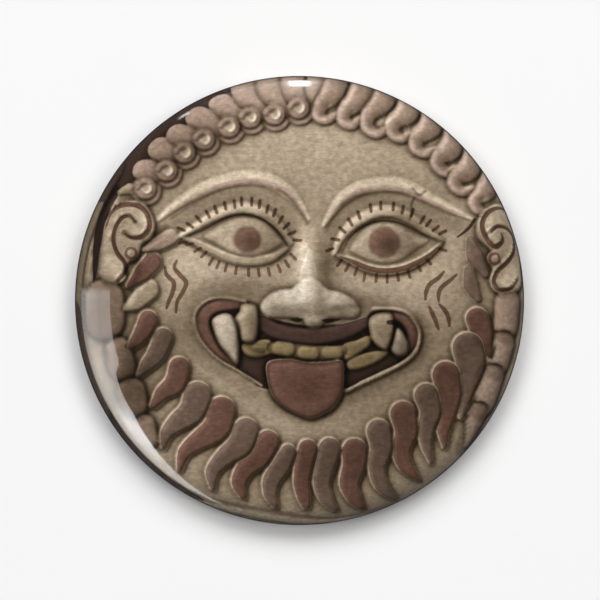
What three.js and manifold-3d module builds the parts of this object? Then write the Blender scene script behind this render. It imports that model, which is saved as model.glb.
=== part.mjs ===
// A 58 mm pin-back button badge, lying on its rolled rim with its printed face up.
// Millimetres, +Z up. The origin is at the middle of the ring that the rim rests on, and +Y is the picture's top.
//
// A stamped tinplate shell carries a printed paper disc under a clear polyester film. All three are rolled
// together round the rim and hold a tinplate back plate, whose catch holds the point of a spring wire pin.
import * as THREE from 'three';
import { mergeVertices } from 'three/addons/utils/BufferGeometryUtils.js';
import Module from 'manifold-3d';

// Outside of the badge, over the film.
const BADGE_DIAMETER = 58;
const CROWN_RADIUS = 320; // radius of the shallow dome of the face
const SHOULDER_RADIUS = 4; // where the face turns down into the side
const WALL_HEIGHT = 0.3; // straight part of the side
const CURL_RADIUS = 0.9; // of the rolled rim
const FOOT_WIDTH = 0.6; // flat land of the rim, which the badge rests on
const TUCK_HEIGHT = 1.3; // straight part of the rolled edge, up to its tip inside the back

// The sheets, from the outside in.
const FILM_THICKNESS = 0.08;
const PAPER_THICKNESS = 0.1;
const SHELL_THICKNESS = 0.2;
const LAYER_GAP = 0.02; // between two sheets pressed together
const PLATE_THICKNESS = 0.2;
const CRIMP_GAP = 0.05; // between the back plate's hem and the shell that grips it

// The back plate.
const WELL_DEPTH = 0.6; // of the pressed-in middle, which leaves room for cloth behind the pin
const WELL_SLOPE = 1.2; // radial width of the slope round the well

// The catch, a tongue cut from the plate and folded round the pin.
const CATCH_WIDTH = 2.4;
const CATCH_LIP = 0.45; // how far the tongue reaches past the pin's axis
const CATCH_CLEARANCE = 0.06; // between the tongue and the pin
const WINDOW_MARGIN = 0.15; // the opening that the tongue leaves is wider than the tongue by this on each side
const CATCH_TO_WELL = 0.2; // flat plate between that opening and the slope round the well
const CATCH_TO_POINT = 0.5; // between the catch and the start of the wire's point

// The spring wire pin.
const WIRE_DIAMETER = 0.9;
const PIN_OFFSET = 6; // the pin crosses above the middle, so that the badge hangs upright
const ARM_HEIGHT = 0.86; // the arm's axis above the surface that the rim rests on
const POINT_LENGTH = 3;
const POINT_INSET = 3.6; // between the sharp end and the rolled rim
const ROOT_BEND = 1; // radius of the bend from the arm into the plate
const INNER_BEND = 0.9; // radius of the bend inside the plate
const ROOT_LEAD = 0.4; // straight wire between that bend and the turn into the hidden arc
const ROOT_HOLE_CLEARANCE = 0.3;
const ANCHOR_INSET = 0.4; // the hidden arc lies on the plate, this far inside the start of the shoulder
const ANCHOR_TURN = 2; // radius of the turn into that arc
const ANCHOR_END_DEG = 60;
const WIRE_LIFT = 0.03; // between the hidden arc and the plate

// Facets.
const AROUND = 48;
const CROWN_STEPS = 3;
const SHOULDER_STEPS = 3;
const CURL_STEPS = 2;
const BEND_STEPS = 3;
const ANCHOR_STEPS = 12;
const WIRE_SIDES = 8;
const OVERLAP = 0.05; // how far two solids run into each other where they are joined

const wasm = await Module();
wasm.setup();

const outerRadius = BADGE_DIAMETER / 2;
const wireRadius = WIRE_DIAMETER / 2;
const shoulderR = outerRadius - SHOULDER_RADIUS;
const shoulderHeight = CURL_RADIUS + WALL_HEIGHT;
const outerCurlR = outerRadius - CURL_RADIUS;
const innerCurlR = outerCurlR - FOOT_WIDTH;
const tipHeight = CURL_RADIUS + TUCK_HEIGHT;
const paperDepth = FILM_THICKNESS + LAYER_GAP;
const shellDepth = paperDepth + PAPER_THICKNESS + LAYER_GAP;
const skinDepth = shellDepth + SHELL_THICKNESS; // all the sheets of the front together
const landHeight = tipHeight + CRIMP_GAP; // underside of the back plate
const landTop = landHeight + PLATE_THICKNESS;

// Places along the pin, which runs beside the X axis.
const catchReach = wireRadius + CATCH_CLEARANCE; // from the pin's axis to the inside of the tongue
const pointX = Math.sqrt((innerCurlR - CURL_RADIUS - POINT_INSET) ** 2 - PIN_OFFSET ** 2);
const catchX = pointX - POINT_LENGTH - CATCH_TO_POINT - CATCH_WIDTH / 2;
const windowWidth = CATCH_WIDTH + 2 * WINDOW_MARGIN;
const wellRadius = catchX - windowWidth / 2 - CATCH_TO_WELL - WELL_SLOPE;
const anchorRadius = shoulderR - ANCHOR_INSET;
const turnY = PIN_OFFSET + ANCHOR_TURN;
const turnX = -Math.sqrt((anchorRadius - ANCHOR_TURN) ** 2 - turnY ** 2);
const rootX = turnX + ROOT_LEAD + INNER_BEND; // where the wire goes through the plate

// Points of an arc in the section plane, both ends included. Angles in degrees from the outward direction.
function arc(centreR, centreZ, radius, fromDeg, toDeg, steps) {
  return Array.from({ length: steps + 1 }, (_, i) => {
    const angle = THREE.MathUtils.degToRad(fromDeg + ((toDeg - fromDeg) * i) / steps);
    return new THREE.Vector2(centreR + radius * Math.cos(angle), centreZ + radius * Math.sin(angle));
  });
}

// The badge's section from the middle of the face to the tip of the rolled edge, at a depth under the outside.
function skinSection(depth) {
  const crownZ = shoulderHeight - Math.sqrt((CROWN_RADIUS - SHOULDER_RADIUS) ** 2 - shoulderR ** 2);
  const tangentDeg = THREE.MathUtils.radToDeg(Math.acos(shoulderR / (CROWN_RADIUS - SHOULDER_RADIUS)));
  const curl = CURL_RADIUS - depth;
  const crown = arc(0, crownZ, CROWN_RADIUS - depth, 90, tangentDeg, CROWN_STEPS);
  crown[0].x = 0;
  return [
    ...crown.slice(0, -1),
    ...arc(shoulderR, shoulderHeight, SHOULDER_RADIUS - depth, tangentDeg, 0, SHOULDER_STEPS),
    ...arc(outerCurlR, CURL_RADIUS, curl, 0, -90, CURL_STEPS),
    ...arc(innerCurlR, CURL_RADIUS, curl, -90, -180, CURL_STEPS),
    new THREE.Vector2(innerCurlR - curl, tipHeight),
  ];
}

// A section turned about the badge's axis, which is +Z.
function turned(section) {
  return new THREE.LatheGeometry(section, AROUND).rotateX(Math.PI / 2);
}

// One sheet of the front, between two depths under the outside.
function skinGeometry(depth, thickness) {
  return turned([...skinSection(depth + thickness), ...skinSection(depth).reverse()]);
}

// The outline of a bent sheet whose middle follows a path that starts on the axis, with mitred corners.
function sheetOutline(path, thickness) {
  const side = (sign) =>
    path.map((point, i) => {
      const before = i > 0 ? point.clone().sub(path[i - 1]).normalize() : null;
      const after = i < path.length - 1 ? path[i + 1].clone().sub(point).normalize() : null;
      const along = (before ?? after).clone().add(after ?? before).normalize();
      const half = thickness / 2 / along.dot(after ?? before);
      return new THREE.Vector2(point.x - sign * along.y * half, point.y + sign * along.x * half);
    });
  return [...side(1), ...side(-1).reverse()];
}

// A closed geometry as a manifold-3d solid.
function solidOf(geometry) {
  const bare = geometry.clone();
  bare.deleteAttribute('normal');
  bare.deleteAttribute('uv');
  const merged = mergeVertices(bare, 1e-4);
  return new wasm.Manifold(
    new wasm.Mesh({
      numProp: 3,
      vertProperties: new Float32Array(merged.attributes.position.array),
      triVerts: new Uint32Array(merged.index.array),
    }),
  );
}

// A manifold-3d solid as a geometry.
function geometryOf(solid) {
  const mesh = solid.getMesh();
  return new THREE.BufferGeometry()
    .setAttribute('position', new THREE.BufferAttribute(mesh.vertProperties, 3))
    .setIndex(new THREE.BufferAttribute(mesh.triVerts, 1));
}

// The pressed plate with its hem inside the rolled rim, before the catch and the root hole.
function plateBlank() {
  const half = PLATE_THICKNESS / 2;
  const landZ = landHeight + half;
  const hemRadius = CURL_RADIUS - skinDepth - CRIMP_GAP - half;
  const path = [
    new THREE.Vector2(0, landZ + WELL_DEPTH),
    new THREE.Vector2(wellRadius, landZ + WELL_DEPTH),
    new THREE.Vector2(wellRadius + WELL_SLOPE, landZ),
    new THREE.Vector2(innerCurlR - hemRadius, landZ),
    ...arc(innerCurlR, CURL_RADIUS, hemRadius, -180, -90, CURL_STEPS),
    ...arc(outerCurlR, CURL_RADIUS, hemRadius, -90, 0, CURL_STEPS),
    new THREE.Vector2(outerCurlR + hemRadius, shoulderHeight),
  ];
  const outline = sheetOutline(path, PLATE_THICKNESS);
  outline[0].x = 0;
  outline.at(-1).x = 0;
  return solidOf(turned(outline.reverse()));
}

// The tongue's section in the plane across the pin, open to one side so that the pin slips in sideways.
function catchShape() {
  const outside = catchReach + PLATE_THICKNESS;
  const shape = new THREE.Shape();
  shape.moveTo(catchReach, landHeight + OVERLAP);
  shape.lineTo(catchReach, ARM_HEIGHT);
  shape.absarc(0, ARM_HEIGHT, catchReach, 0, -Math.PI / 2, true);
  shape.lineTo(-CATCH_LIP, ARM_HEIGHT - catchReach);
  shape.lineTo(-CATCH_LIP, ARM_HEIGHT - outside);
  shape.lineTo(0, ARM_HEIGHT - outside);
  shape.absarc(0, ARM_HEIGHT, outside, -Math.PI / 2, 0, false);
  shape.lineTo(outside, landHeight + OVERLAP);
  return shape;
}

// A shape drawn across the pin and run along it, centred on the catch.
function alongPin(shape, width) {
  const placed = new THREE.Matrix4().makeBasis(
    new THREE.Vector3(0, 1, 0),
    new THREE.Vector3(0, 0, 1),
    new THREE.Vector3(1, 0, 0),
  );
  placed.setPosition(catchX - width / 2, PIN_OFFSET, 0);
  return new THREE.ExtrudeGeometry(shape, { depth: width, bevelEnabled: false, curveSegments: BEND_STEPS }).applyMatrix4(
    placed,
  );
}

// The opening left where the tongue was cut out: as long as the tongue is when it is flat.
function catchWindow() {
  const flatLength = landHeight - ARM_HEIGHT + (catchReach * Math.PI) / 2 + CATCH_LIP;
  const box = new THREE.BoxGeometry(windowWidth, flatLength, PLATE_THICKNESS + 2 * OVERLAP);
  return box.translate(catchX, PIN_OFFSET + catchReach - flatLength / 2, landHeight + PLATE_THICKNESS / 2);
}

// The hole that the wire comes through.
function rootHole() {
  const radius = wireRadius + ROOT_HOLE_CLEARANCE;
  return new THREE.CylinderGeometry(radius, radius, PLATE_THICKNESS + 2 * OVERLAP, WIRE_SIDES * 2)
    .rotateX(Math.PI / 2)
    .translate(rootX, PIN_OFFSET, landHeight + PLATE_THICKNESS / 2);
}

function backPlateGeometry() {
  const plate = plateBlank().subtract(solidOf(catchWindow())).subtract(solidOf(rootHole()));
  return geometryOf(plate.add(solidOf(alongPin(catchShape(), CATCH_WIDTH))));
}

// A path through chosen stations. Each step of a sweep along it is one station, however far apart they lie.
class StationPath extends THREE.Curve {
  constructor(stations) {
    super();
    this.stations = stations;
  }

  getPoint(t, target = new THREE.Vector3()) {
    const place = t * (this.stations.length - 1);
    const index = Math.min(Math.floor(place), this.stations.length - 2);
    return target.lerpVectors(this.stations[index], this.stations[index + 1], place - index);
  }

  getUtoTmapping(u) {
    return u;
  }
}

// The wire's axis, from the start of its point to the end of its hidden arc.
function wireStations() {
  const anchorZ = landTop + WIRE_LIFT + wireRadius;
  const stations = [new THREE.Vector3(pointX - POINT_LENGTH, PIN_OFFSET, ARM_HEIGHT)];
  for (const p of arc(rootX + ROOT_BEND, ARM_HEIGHT + ROOT_BEND, ROOT_BEND, -90, -180, BEND_STEPS)) {
    stations.push(new THREE.Vector3(p.x, PIN_OFFSET, p.y));
  }
  for (const p of arc(rootX - INNER_BEND, anchorZ - INNER_BEND, INNER_BEND, 0, 90, BEND_STEPS)) {
    stations.push(new THREE.Vector3(p.x, PIN_OFFSET, p.y));
  }
  const joinDeg = THREE.MathUtils.radToDeg(Math.atan2(turnY, turnX));
  for (const p of arc(turnX, turnY, ANCHOR_TURN, -90, joinDeg - 360, BEND_STEPS)) {
    stations.push(new THREE.Vector3(p.x, p.y, anchorZ));
  }
  for (const p of arc(0, 0, anchorRadius, joinDeg, ANCHOR_END_DEG, ANCHOR_STEPS).slice(1)) {
    stations.push(new THREE.Vector3(p.x, p.y, anchorZ));
  }
  return stations;
}

function pinWireGeometry() {
  const stations = wireStations();
  const section = new THREE.Shape(
    arc(0, 0, wireRadius, 180 / WIRE_SIDES, 360 + 180 / WIRE_SIDES, WIRE_SIDES).slice(0, -1),
  );
  const wire = new THREE.ExtrudeGeometry(section, {
    steps: stations.length - 1,
    extrudePath: new StationPath(stations),
    bevelEnabled: false,
  });
  const point = new THREE.ConeGeometry(wireRadius, POINT_LENGTH, WIRE_SIDES)
    .rotateY(Math.PI / WIRE_SIDES)
    .rotateZ(-Math.PI / 2)
    .translate(pointX - POINT_LENGTH / 2, PIN_OFFSET, ARM_HEIGHT);
  return geometryOf(solidOf(wire).add(solidOf(point)));
}

function piece(name, geometry, color, roughness, metalness, extra = {}) {
  const mesh = new THREE.Mesh(geometry, new THREE.MeshStandardMaterial({ color, roughness, metalness, ...extra }));
  mesh.name = name;
  return mesh;
}

const badge = new THREE.Group();
badge.name = 'pin_back_button_badge';
const clear = { transparent: true, opacity: 0.25 };
badge.add(piece('clear_film', skinGeometry(0, FILM_THICKNESS), 0xf4f4f2, 0.05, 0, clear));
badge.add(piece('printed_paper', skinGeometry(paperDepth, PAPER_THICKNESS), 0xa8977a, 0.6, 0));
badge.add(piece('front_shell', skinGeometry(shellDepth, SHELL_THICKNESS), 0xb9bbbd, 0.3, 1));
badge.add(piece('back_plate', backPlateGeometry(), 0xb4b6b8, 0.32, 1));
badge.add(piece('pin_wire', pinWireGeometry(), 0xc6c7c8, 0.22, 1));

export default badge;
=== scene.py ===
"""The looks of a 58 mm pin-back button badge, lying on its rolled rim with its printed face up.

Sizes are in millimetres and become metres where a mesh is made. +Z is up and +Y is the picture's top.
"""

import logging
import math
from dataclasses import dataclass
from enum import Enum

import bpy
import numpy as np
from mathutils import Matrix, Vector


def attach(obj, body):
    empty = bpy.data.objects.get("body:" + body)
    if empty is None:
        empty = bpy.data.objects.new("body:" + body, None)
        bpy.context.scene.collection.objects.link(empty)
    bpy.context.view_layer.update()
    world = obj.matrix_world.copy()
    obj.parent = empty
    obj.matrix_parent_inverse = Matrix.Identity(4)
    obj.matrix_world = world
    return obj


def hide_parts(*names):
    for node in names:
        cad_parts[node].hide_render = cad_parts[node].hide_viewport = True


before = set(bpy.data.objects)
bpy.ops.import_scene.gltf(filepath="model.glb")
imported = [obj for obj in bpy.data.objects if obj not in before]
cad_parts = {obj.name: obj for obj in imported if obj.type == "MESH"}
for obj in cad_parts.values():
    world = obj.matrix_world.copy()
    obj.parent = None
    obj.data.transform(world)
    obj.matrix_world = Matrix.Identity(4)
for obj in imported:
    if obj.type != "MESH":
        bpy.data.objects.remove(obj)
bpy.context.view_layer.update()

MM = 0.001
BODY = "root"
MERGE_DISTANCE = 1e-7

log = logging.getLogger("badge")

Points = list[tuple[float, float]]
Spot = tuple[float, float]
Colour = tuple[float, float, float, float]
Piece = bpy.types.Object
Material = bpy.types.Material
Socket = bpy.types.NodeSocket


def display_colour(red: int, green: int, blue: int) -> Colour:
    """Turns a colour as a screen shows it into the linear one that shaders take.

    Args:
        red: From 0 to 255, and so are the next two.
        green: The green channel.
        blue: The blue channel.

    Returns:
        The colour, opaque.
    """

    def channel(value: int) -> float:
        """Turns one channel, from 0 to 255."""
        share = value / 255
        return share / 12.92 if share <= 0.04045 else ((share + 0.055) / 1.055) ** 2.4

    return channel(red), channel(green), channel(blue), 1.0


class Wiring:
    """Adds shader nodes to a tree and joins them."""

    def __init__(self, tree: bpy.types.NodeTree) -> None:
        """Takes the tree to work in."""
        self.tree = tree

    def add(self, kind: str, inputs: dict | None = None, **settings: object) -> bpy.types.Node:
        """Adds one node.

        Args:
            kind: Its type, without "ShaderNode".
            inputs: What each input gets, a value or another node's output, by the input's name or number.
            **settings: Its other properties.

        Returns:
            The node.
        """
        node = self.tree.nodes.new("ShaderNode" + kind)
        for name, value in settings.items():
            setattr(node, name, value)
        self.feed(node, inputs or {})
        return node

    def feed(self, node: bpy.types.Node, inputs: dict) -> None:
        """Gives inputs of a node their values, or joins them to other nodes.

        Args:
            node: The node.
            inputs: A value or another node's output, by the input's name or number.
        """
        for key, value in inputs.items():
            if isinstance(value, Socket):
                self.tree.links.new(value, node.inputs[key])
            else:
                node.inputs[key].default_value = value

    def math(self, operation: str, *values: object, clamp: bool = False) -> Socket:
        """Does sums on values, and gives the result."""
        return self.add("Math", dict(enumerate(values)), operation=operation, use_clamp=clamp).outputs[0]

    def times(self, one: object, other: object) -> Socket:
        """Multiplies two values."""
        return self.math("MULTIPLY", one, other)

    def apart(self, one: object, other: object) -> Socket:
        """Gives how far two values lie apart."""
        return self.math("ABSOLUTE", self.math("SUBTRACT", one, other))

    def ramp(
        self, value: object, low: float, high: float, to_low: float = 0, to_high: float = 1.0
    ) -> Socket:
        """Turns a range of a value smoothly into another range, and holds it at the ends."""
        settings = {"Value": value, "From Min": low, "From Max": high, "To Min": to_low, "To Max": to_high}
        return self.add("MapRange", settings, interpolation_type="SMOOTHSTEP").outputs[0]

    def mix(self, share: object, under: object, over: object, blend: str = "MIX") -> Socket:
        """Lays one colour over another, and gives the result."""
        return self.add("Mix", {0: share, 6: under, 7: over}, data_type="RGBA", blend_type=blend).outputs[2]

    def place(self, place: object, scale: tuple[float, float, float]) -> Socket:
        """Stretches a pattern's coordinates."""
        return self.add("Mapping", {"Vector": place, "Scale": scale}).outputs[0]

    def noise(
        self, place: object, size: float, detail: float = 3, twist: float = 0.0
    ) -> Socket:
        """Gives soft noise from 0 to 1.

        Args:
            place: Coordinates, in metres.
            size: Width of its blotches, in millimetres.
            detail: Finer noise in it.
            twist: How far it is warped.

        Returns:
            The noise.
        """
        inputs = {"Vector": place, "Scale": 1 / (size * MM), "Detail": detail, "Distortion": twist}
        return self.add("TexNoise", inputs).outputs[0]


def new_material(name: str) -> tuple[Material, Wiring, bpy.types.Node, Socket]:
    """Starts a material.

    Args:
        name: Its name.

    Returns:
        The material, its wiring, its Principled shader and the object's coordinates.
    """
    material = bpy.data.materials.new(name)
    material.use_nodes = True
    shader = material.node_tree.nodes["Principled BSDF"]
    wiring = Wiring(material.node_tree)
    return material, wiring, shader, wiring.add("TexCoord").outputs["Object"]


def deselect_all() -> None:
    """Leaves edit mode and deselects every object."""
    if bpy.context.object is not None and bpy.context.object.mode != "OBJECT":
        bpy.ops.object.mode_set(mode="OBJECT")
    bpy.ops.object.select_all(action="DESELECT")


def start_point(name: str, point: Vector) -> Piece:
    """Adds a plane, merges it to one vertex and moves that to the first point of a section.

    Args:
        name: Name of the piece.
        point: The first point, in millimetres.

    Returns:
        The piece, in edit mode with its vertex selected.
    """
    deselect_all()
    bpy.ops.mesh.primitive_plane_add(size=MM, location=(0, 0, 0))
    piece = bpy.context.object
    piece.name = piece.data.name = name
    bpy.ops.object.mode_set(mode="EDIT")
    bpy.ops.mesh.select_mode(type="VERT")
    bpy.ops.mesh.select_all(action="SELECT")
    bpy.ops.mesh.merge(type="CENTER")
    bpy.ops.transform.translate(value=point * MM)
    return piece


def draw_on(points: list[Vector]) -> None:
    """Extrudes the selected vertex, which stands on the first of some points, from each to the next."""
    for start, end in zip(points, points[1:]):
        bpy.ops.mesh.extrude_region_move(TRANSFORM_OT_translate={"value": (end - start) * MM})


def turn_section(name: str, section: Points, steps: int) -> Piece:
    """Draws a section and spins it round the badge's axis.

    Args:
        name: Name of the piece.
        section: Its points, as radius and height, from the axis or back to it.
        steps: Steps round the circle.

    Returns:
        The piece, in edit mode.
    """
    corners = [Vector((radius, 0, height)) for radius, height in section]
    piece = start_point(name, corners[0])
    draw_on(corners)
    bpy.ops.mesh.select_all(action="SELECT")
    bpy.ops.mesh.spin(steps=steps, angle=math.tau, center=(0, 0, 0), axis=(0, 0, 1))
    bpy.ops.mesh.select_all(action="SELECT")
    bpy.ops.mesh.remove_doubles(threshold=MERGE_DISTANCE)
    bpy.ops.mesh.normals_make_consistent(inside=False)
    return piece


def arc(centre: Spot, radius: float, from_deg: float, to_deg: float, steps: int) -> Points:
    """Gives points of an arc in a section, both ends included, with angles from the outward direction."""
    angles = [math.radians(from_deg + (to_deg - from_deg) * i / steps) for i in range(steps + 1)]
    return [(centre[0] + radius * math.cos(angle), centre[1] + radius * math.sin(angle)) for angle in angles]


def rounded(corners: list[tuple[float, float, float]], steps: int = 5) -> Points:
    """Rounds the corners of a path.

    Args:
        corners: Each corner with its radius, 0 where it stays sharp.
        steps: Short straight pieces in each rounding.

    Returns:
        The path's points.
    """
    path: Points = []
    for index, (x, y, radius) in enumerate(corners):
        corner = Vector((x, y))
        if radius == 0:
            path.append((x, y))
            continue
        back = (Vector(corners[index - 1][:2]) - corner).normalized()
        ahead = (Vector(corners[index + 1][:2]) - corner).normalized()
        half = back.angle(ahead) / 2
        centre = corner + (back + ahead).normalized() * radius / math.sin(half)
        start, end = (corner + way * radius / math.tan(half) - centre for way in (back, ahead))
        sweep = start.angle_signed(end)
        for i in range(steps + 1):
            point = centre + Matrix.Rotation(-sweep * i / steps, 2) @ start
            path.append((point.x, point.y))
    return path


def sheet_outline(path: Points, thickness: float) -> Points:
    """Gives the outline of a bent sheet, with mitred corners.

    Args:
        path: The path that the sheet's middle follows.
        thickness: The sheet's thickness.

    Returns:
        One side's points from start to end, then the other side's back again.
    """
    points = [Vector(point) for point in path]
    sides: list[Points] = []
    for sign in (1, -1):
        side = []
        for index, point in enumerate(points):
            before = (point - points[index - 1]).normalized() if index > 0 else None
            after = (points[index + 1] - point).normalized() if index < len(points) - 1 else None
            along = ((before or after) + (after or before)).normalized()
            half = thickness / 2 / along.dot(after or before)
            side.append((point.x - sign * along.y * half, point.y + sign * along.x * half))
        sides.append(side)
    return sides[0] + sides[1][::-1]


def apply_boolean(piece: Piece, tool: Piece, operation: str) -> None:
    """Cuts a tool from a piece or joins it on, and removes the tool.

    Args:
        piece: The piece that is changed.
        tool: The mesh that changes it.
        operation: DIFFERENCE to cut it away or UNION to join it on.
    """
    deselect_all()
    piece.select_set(True)
    bpy.context.view_layer.objects.active = piece
    modifier = piece.modifiers.new(operation.lower(), "BOOLEAN")
    modifier.operation, modifier.object, modifier.solver = operation, tool, "EXACT"
    bpy.ops.object.modifier_apply(modifier=modifier.name)
    bpy.data.objects.remove(tool)


def finish_piece(
    piece: Piece, node: str, material: Material, smooth_deg: float
) -> None:
    """Shades a piece, dresses it and ties it to the frame.

    Args:
        piece: The finished mesh.
        node: The CAD node that it stands for.
        material: Its finish.
        smooth_deg: Edges that turn less than this are shaded smooth.
    """
    deselect_all()
    piece.select_set(True)
    bpy.context.view_layer.objects.active = piece
    bpy.ops.object.shade_smooth_by_angle(angle=math.radians(smooth_deg))
    piece.data.materials.clear()
    piece.data.materials.append(material)
    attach(piece, BODY)
    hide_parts(node)
    size = piece.dimensions / MM
    faces = sum(len(face.vertices) - 2 for face in piece.data.polygons)
    log.info("%s: %.2f x %.2f x %.2f mm, %d triangles", piece.name, *size, faces)


@dataclass
class RimSection:
    """The section that the sheets of the front share, from the face's middle to the rolled edge's tip."""

    outer_radius: float = 29.0
    crown_radius: float = 320.0
    shoulder_radius: float = 4.0
    wall_height: float = 0.3
    curl_radius: float = 0.9
    foot_width: float = 0.6
    tuck_height: float = 1.3

    def __post_init__(self) -> None:
        """Works out the places that follow from the sizes."""
        self.shoulder_r = self.outer_radius - self.shoulder_radius
        self.shoulder_height = self.curl_radius + self.wall_height
        self.outer_curl_r = self.outer_radius - self.curl_radius
        self.inner_curl_r = self.outer_curl_r - self.foot_width
        self.tip_height = self.curl_radius + self.tuck_height
        inner = self.crown_radius - self.shoulder_radius
        self.crown_z = self.shoulder_height - math.sqrt(inner**2 - self.shoulder_r**2)
        self.tangent_deg = math.degrees(math.acos(self.shoulder_r / inner))

    def outline(
        self, depth: float, crown_steps: int = 14, shoulder_steps: int = 16, curl_steps: int = 9
    ) -> Points:
        """Draws the section at a depth under the outside.

        Args:
            depth: How far inside the film's outer face.
            crown_steps: Steps over the dome.
            shoulder_steps: Steps round the shoulder.
            curl_steps: Steps round each half of the rolled edge.

        Returns:
            Its points as radius and height, from the axis to the tip.
        """
        curl = self.curl_radius - depth
        crown = arc((0, self.crown_z), self.crown_radius - depth, 90, self.tangent_deg, crown_steps)
        crown[0] = (0, crown[0][1])
        shoulder = (self.shoulder_r, self.shoulder_height)
        return [
            *crown[:-1],
            *arc(shoulder, self.shoulder_radius - depth, self.tangent_deg, 0, shoulder_steps),
            *arc((self.outer_curl_r, self.curl_radius), curl, 0, -90, curl_steps),
            *arc((self.inner_curl_r, self.curl_radius), curl, -90, -180, curl_steps),
            (self.inner_curl_r - curl, self.tip_height),
        ]

    def sheet(self, depth: float, thickness: float) -> Points:
        """Draws the closed section of one sheet, out along its outer face and back along its inner one."""
        return self.outline(depth) + self.outline(depth + thickness)[::-1]


class Paint(Enum):
    """The flat colours that the print is drawn in. Bare ground is the cream of the clay."""

    RIM = "rim"
    HAIR = "hair"
    GREY = "grey"
    RED = "red"
    MAROON = "maroon"
    LIP = "lip"
    IRIS = "iris"
    TEETH = "teeth"
    IVORY = "ivory"
    INK = "ink"


Place = tuple[tuple[slice, slice], np.ndarray]  # a window and the distance in it
SPAN_STEPS = 9  # short straight pieces between two points of a smooth path


def smooth_path(points: Points, closed: bool = False, steps: int = SPAN_STEPS) -> np.ndarray:
    """Draws a smooth curve through a few points.

    Args:
        points: The points, in order.
        closed: Whether the curve comes back to its first point.
        steps: Straight pieces between two points.

    Returns:
        The curve's points, one row each. A closed curve doesn't repeat its first.
    """
    knots = np.array(points, float)
    if closed:
        before, start, end, after = (np.roll(knots, shift, axis=0) for shift in (1, 0, -1, -2))
    else:
        padded = np.vstack([2 * knots[0] - knots[1], knots, 2 * knots[-1] - knots[-2]])
        before, start, end, after = padded[:-3], padded[1:-2], padded[2:-1], padded[3:]
    t = (np.arange(steps) / steps)[None, :, None]
    b, s, e, a = (part[:, None, :] for part in (before, start, end, after))
    curve = 0.5 * (2 * s + (e - b) * t + (2 * b - 5 * s + 4 * e - a) * t**2 + (3 * s - b - 3 * e + a) * t**3)
    curve = curve.reshape(-1, 2)
    return curve if closed else np.vstack([curve, knots[-1]])


def spiral(centre: Spot, start: float, end: float, from_deg: float, turn_deg: float) -> np.ndarray:
    """Draws a spiral whose radius shrinks evenly.

    Args:
        centre: Its middle.
        start: Radius that it begins with.
        end: Radius that it ends with.
        from_deg: Direction of its first point.
        turn_deg: How far it turns, negative for clockwise.

    Returns:
        The spiral's points.
    """
    t = np.linspace(0, 1, max(8, int(abs(turn_deg) / 18)))
    angle = np.radians(from_deg + turn_deg * t)
    radius = start + (end - start) * t
    return np.c_[centre[0] + radius * np.cos(angle), centre[1] + radius * np.sin(angle)]


def taper(widths: tuple[float, ...], count: int, at: tuple[float, ...] = ()) -> np.ndarray:
    """Spreads a few widths over a line's points.

    Args:
        widths: The widths, in order.
        count: How many points the line has.
        at: Each width's share of the way along, or nothing where they are evenly spaced.

    Returns:
        A width for each point.
    """
    return np.interp(np.linspace(0, 1, count), at or np.linspace(0, 1, len(widths)), widths)


def dot(x: float, y: float, length: float = 0.02) -> np.ndarray:
    """Gives a line so short that a stroke along it is a round dot."""
    return np.array([[x, y], [x + length, y]])


def pillow(distance: np.ndarray, edge: float) -> np.ndarray:
    """Gives a rounded edge that rises from 0 at an outline to 1 well inside it."""
    inside = np.clip(-distance / edge, 0, 1)
    return np.sqrt(1 - (1 - inside) ** 2)


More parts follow.
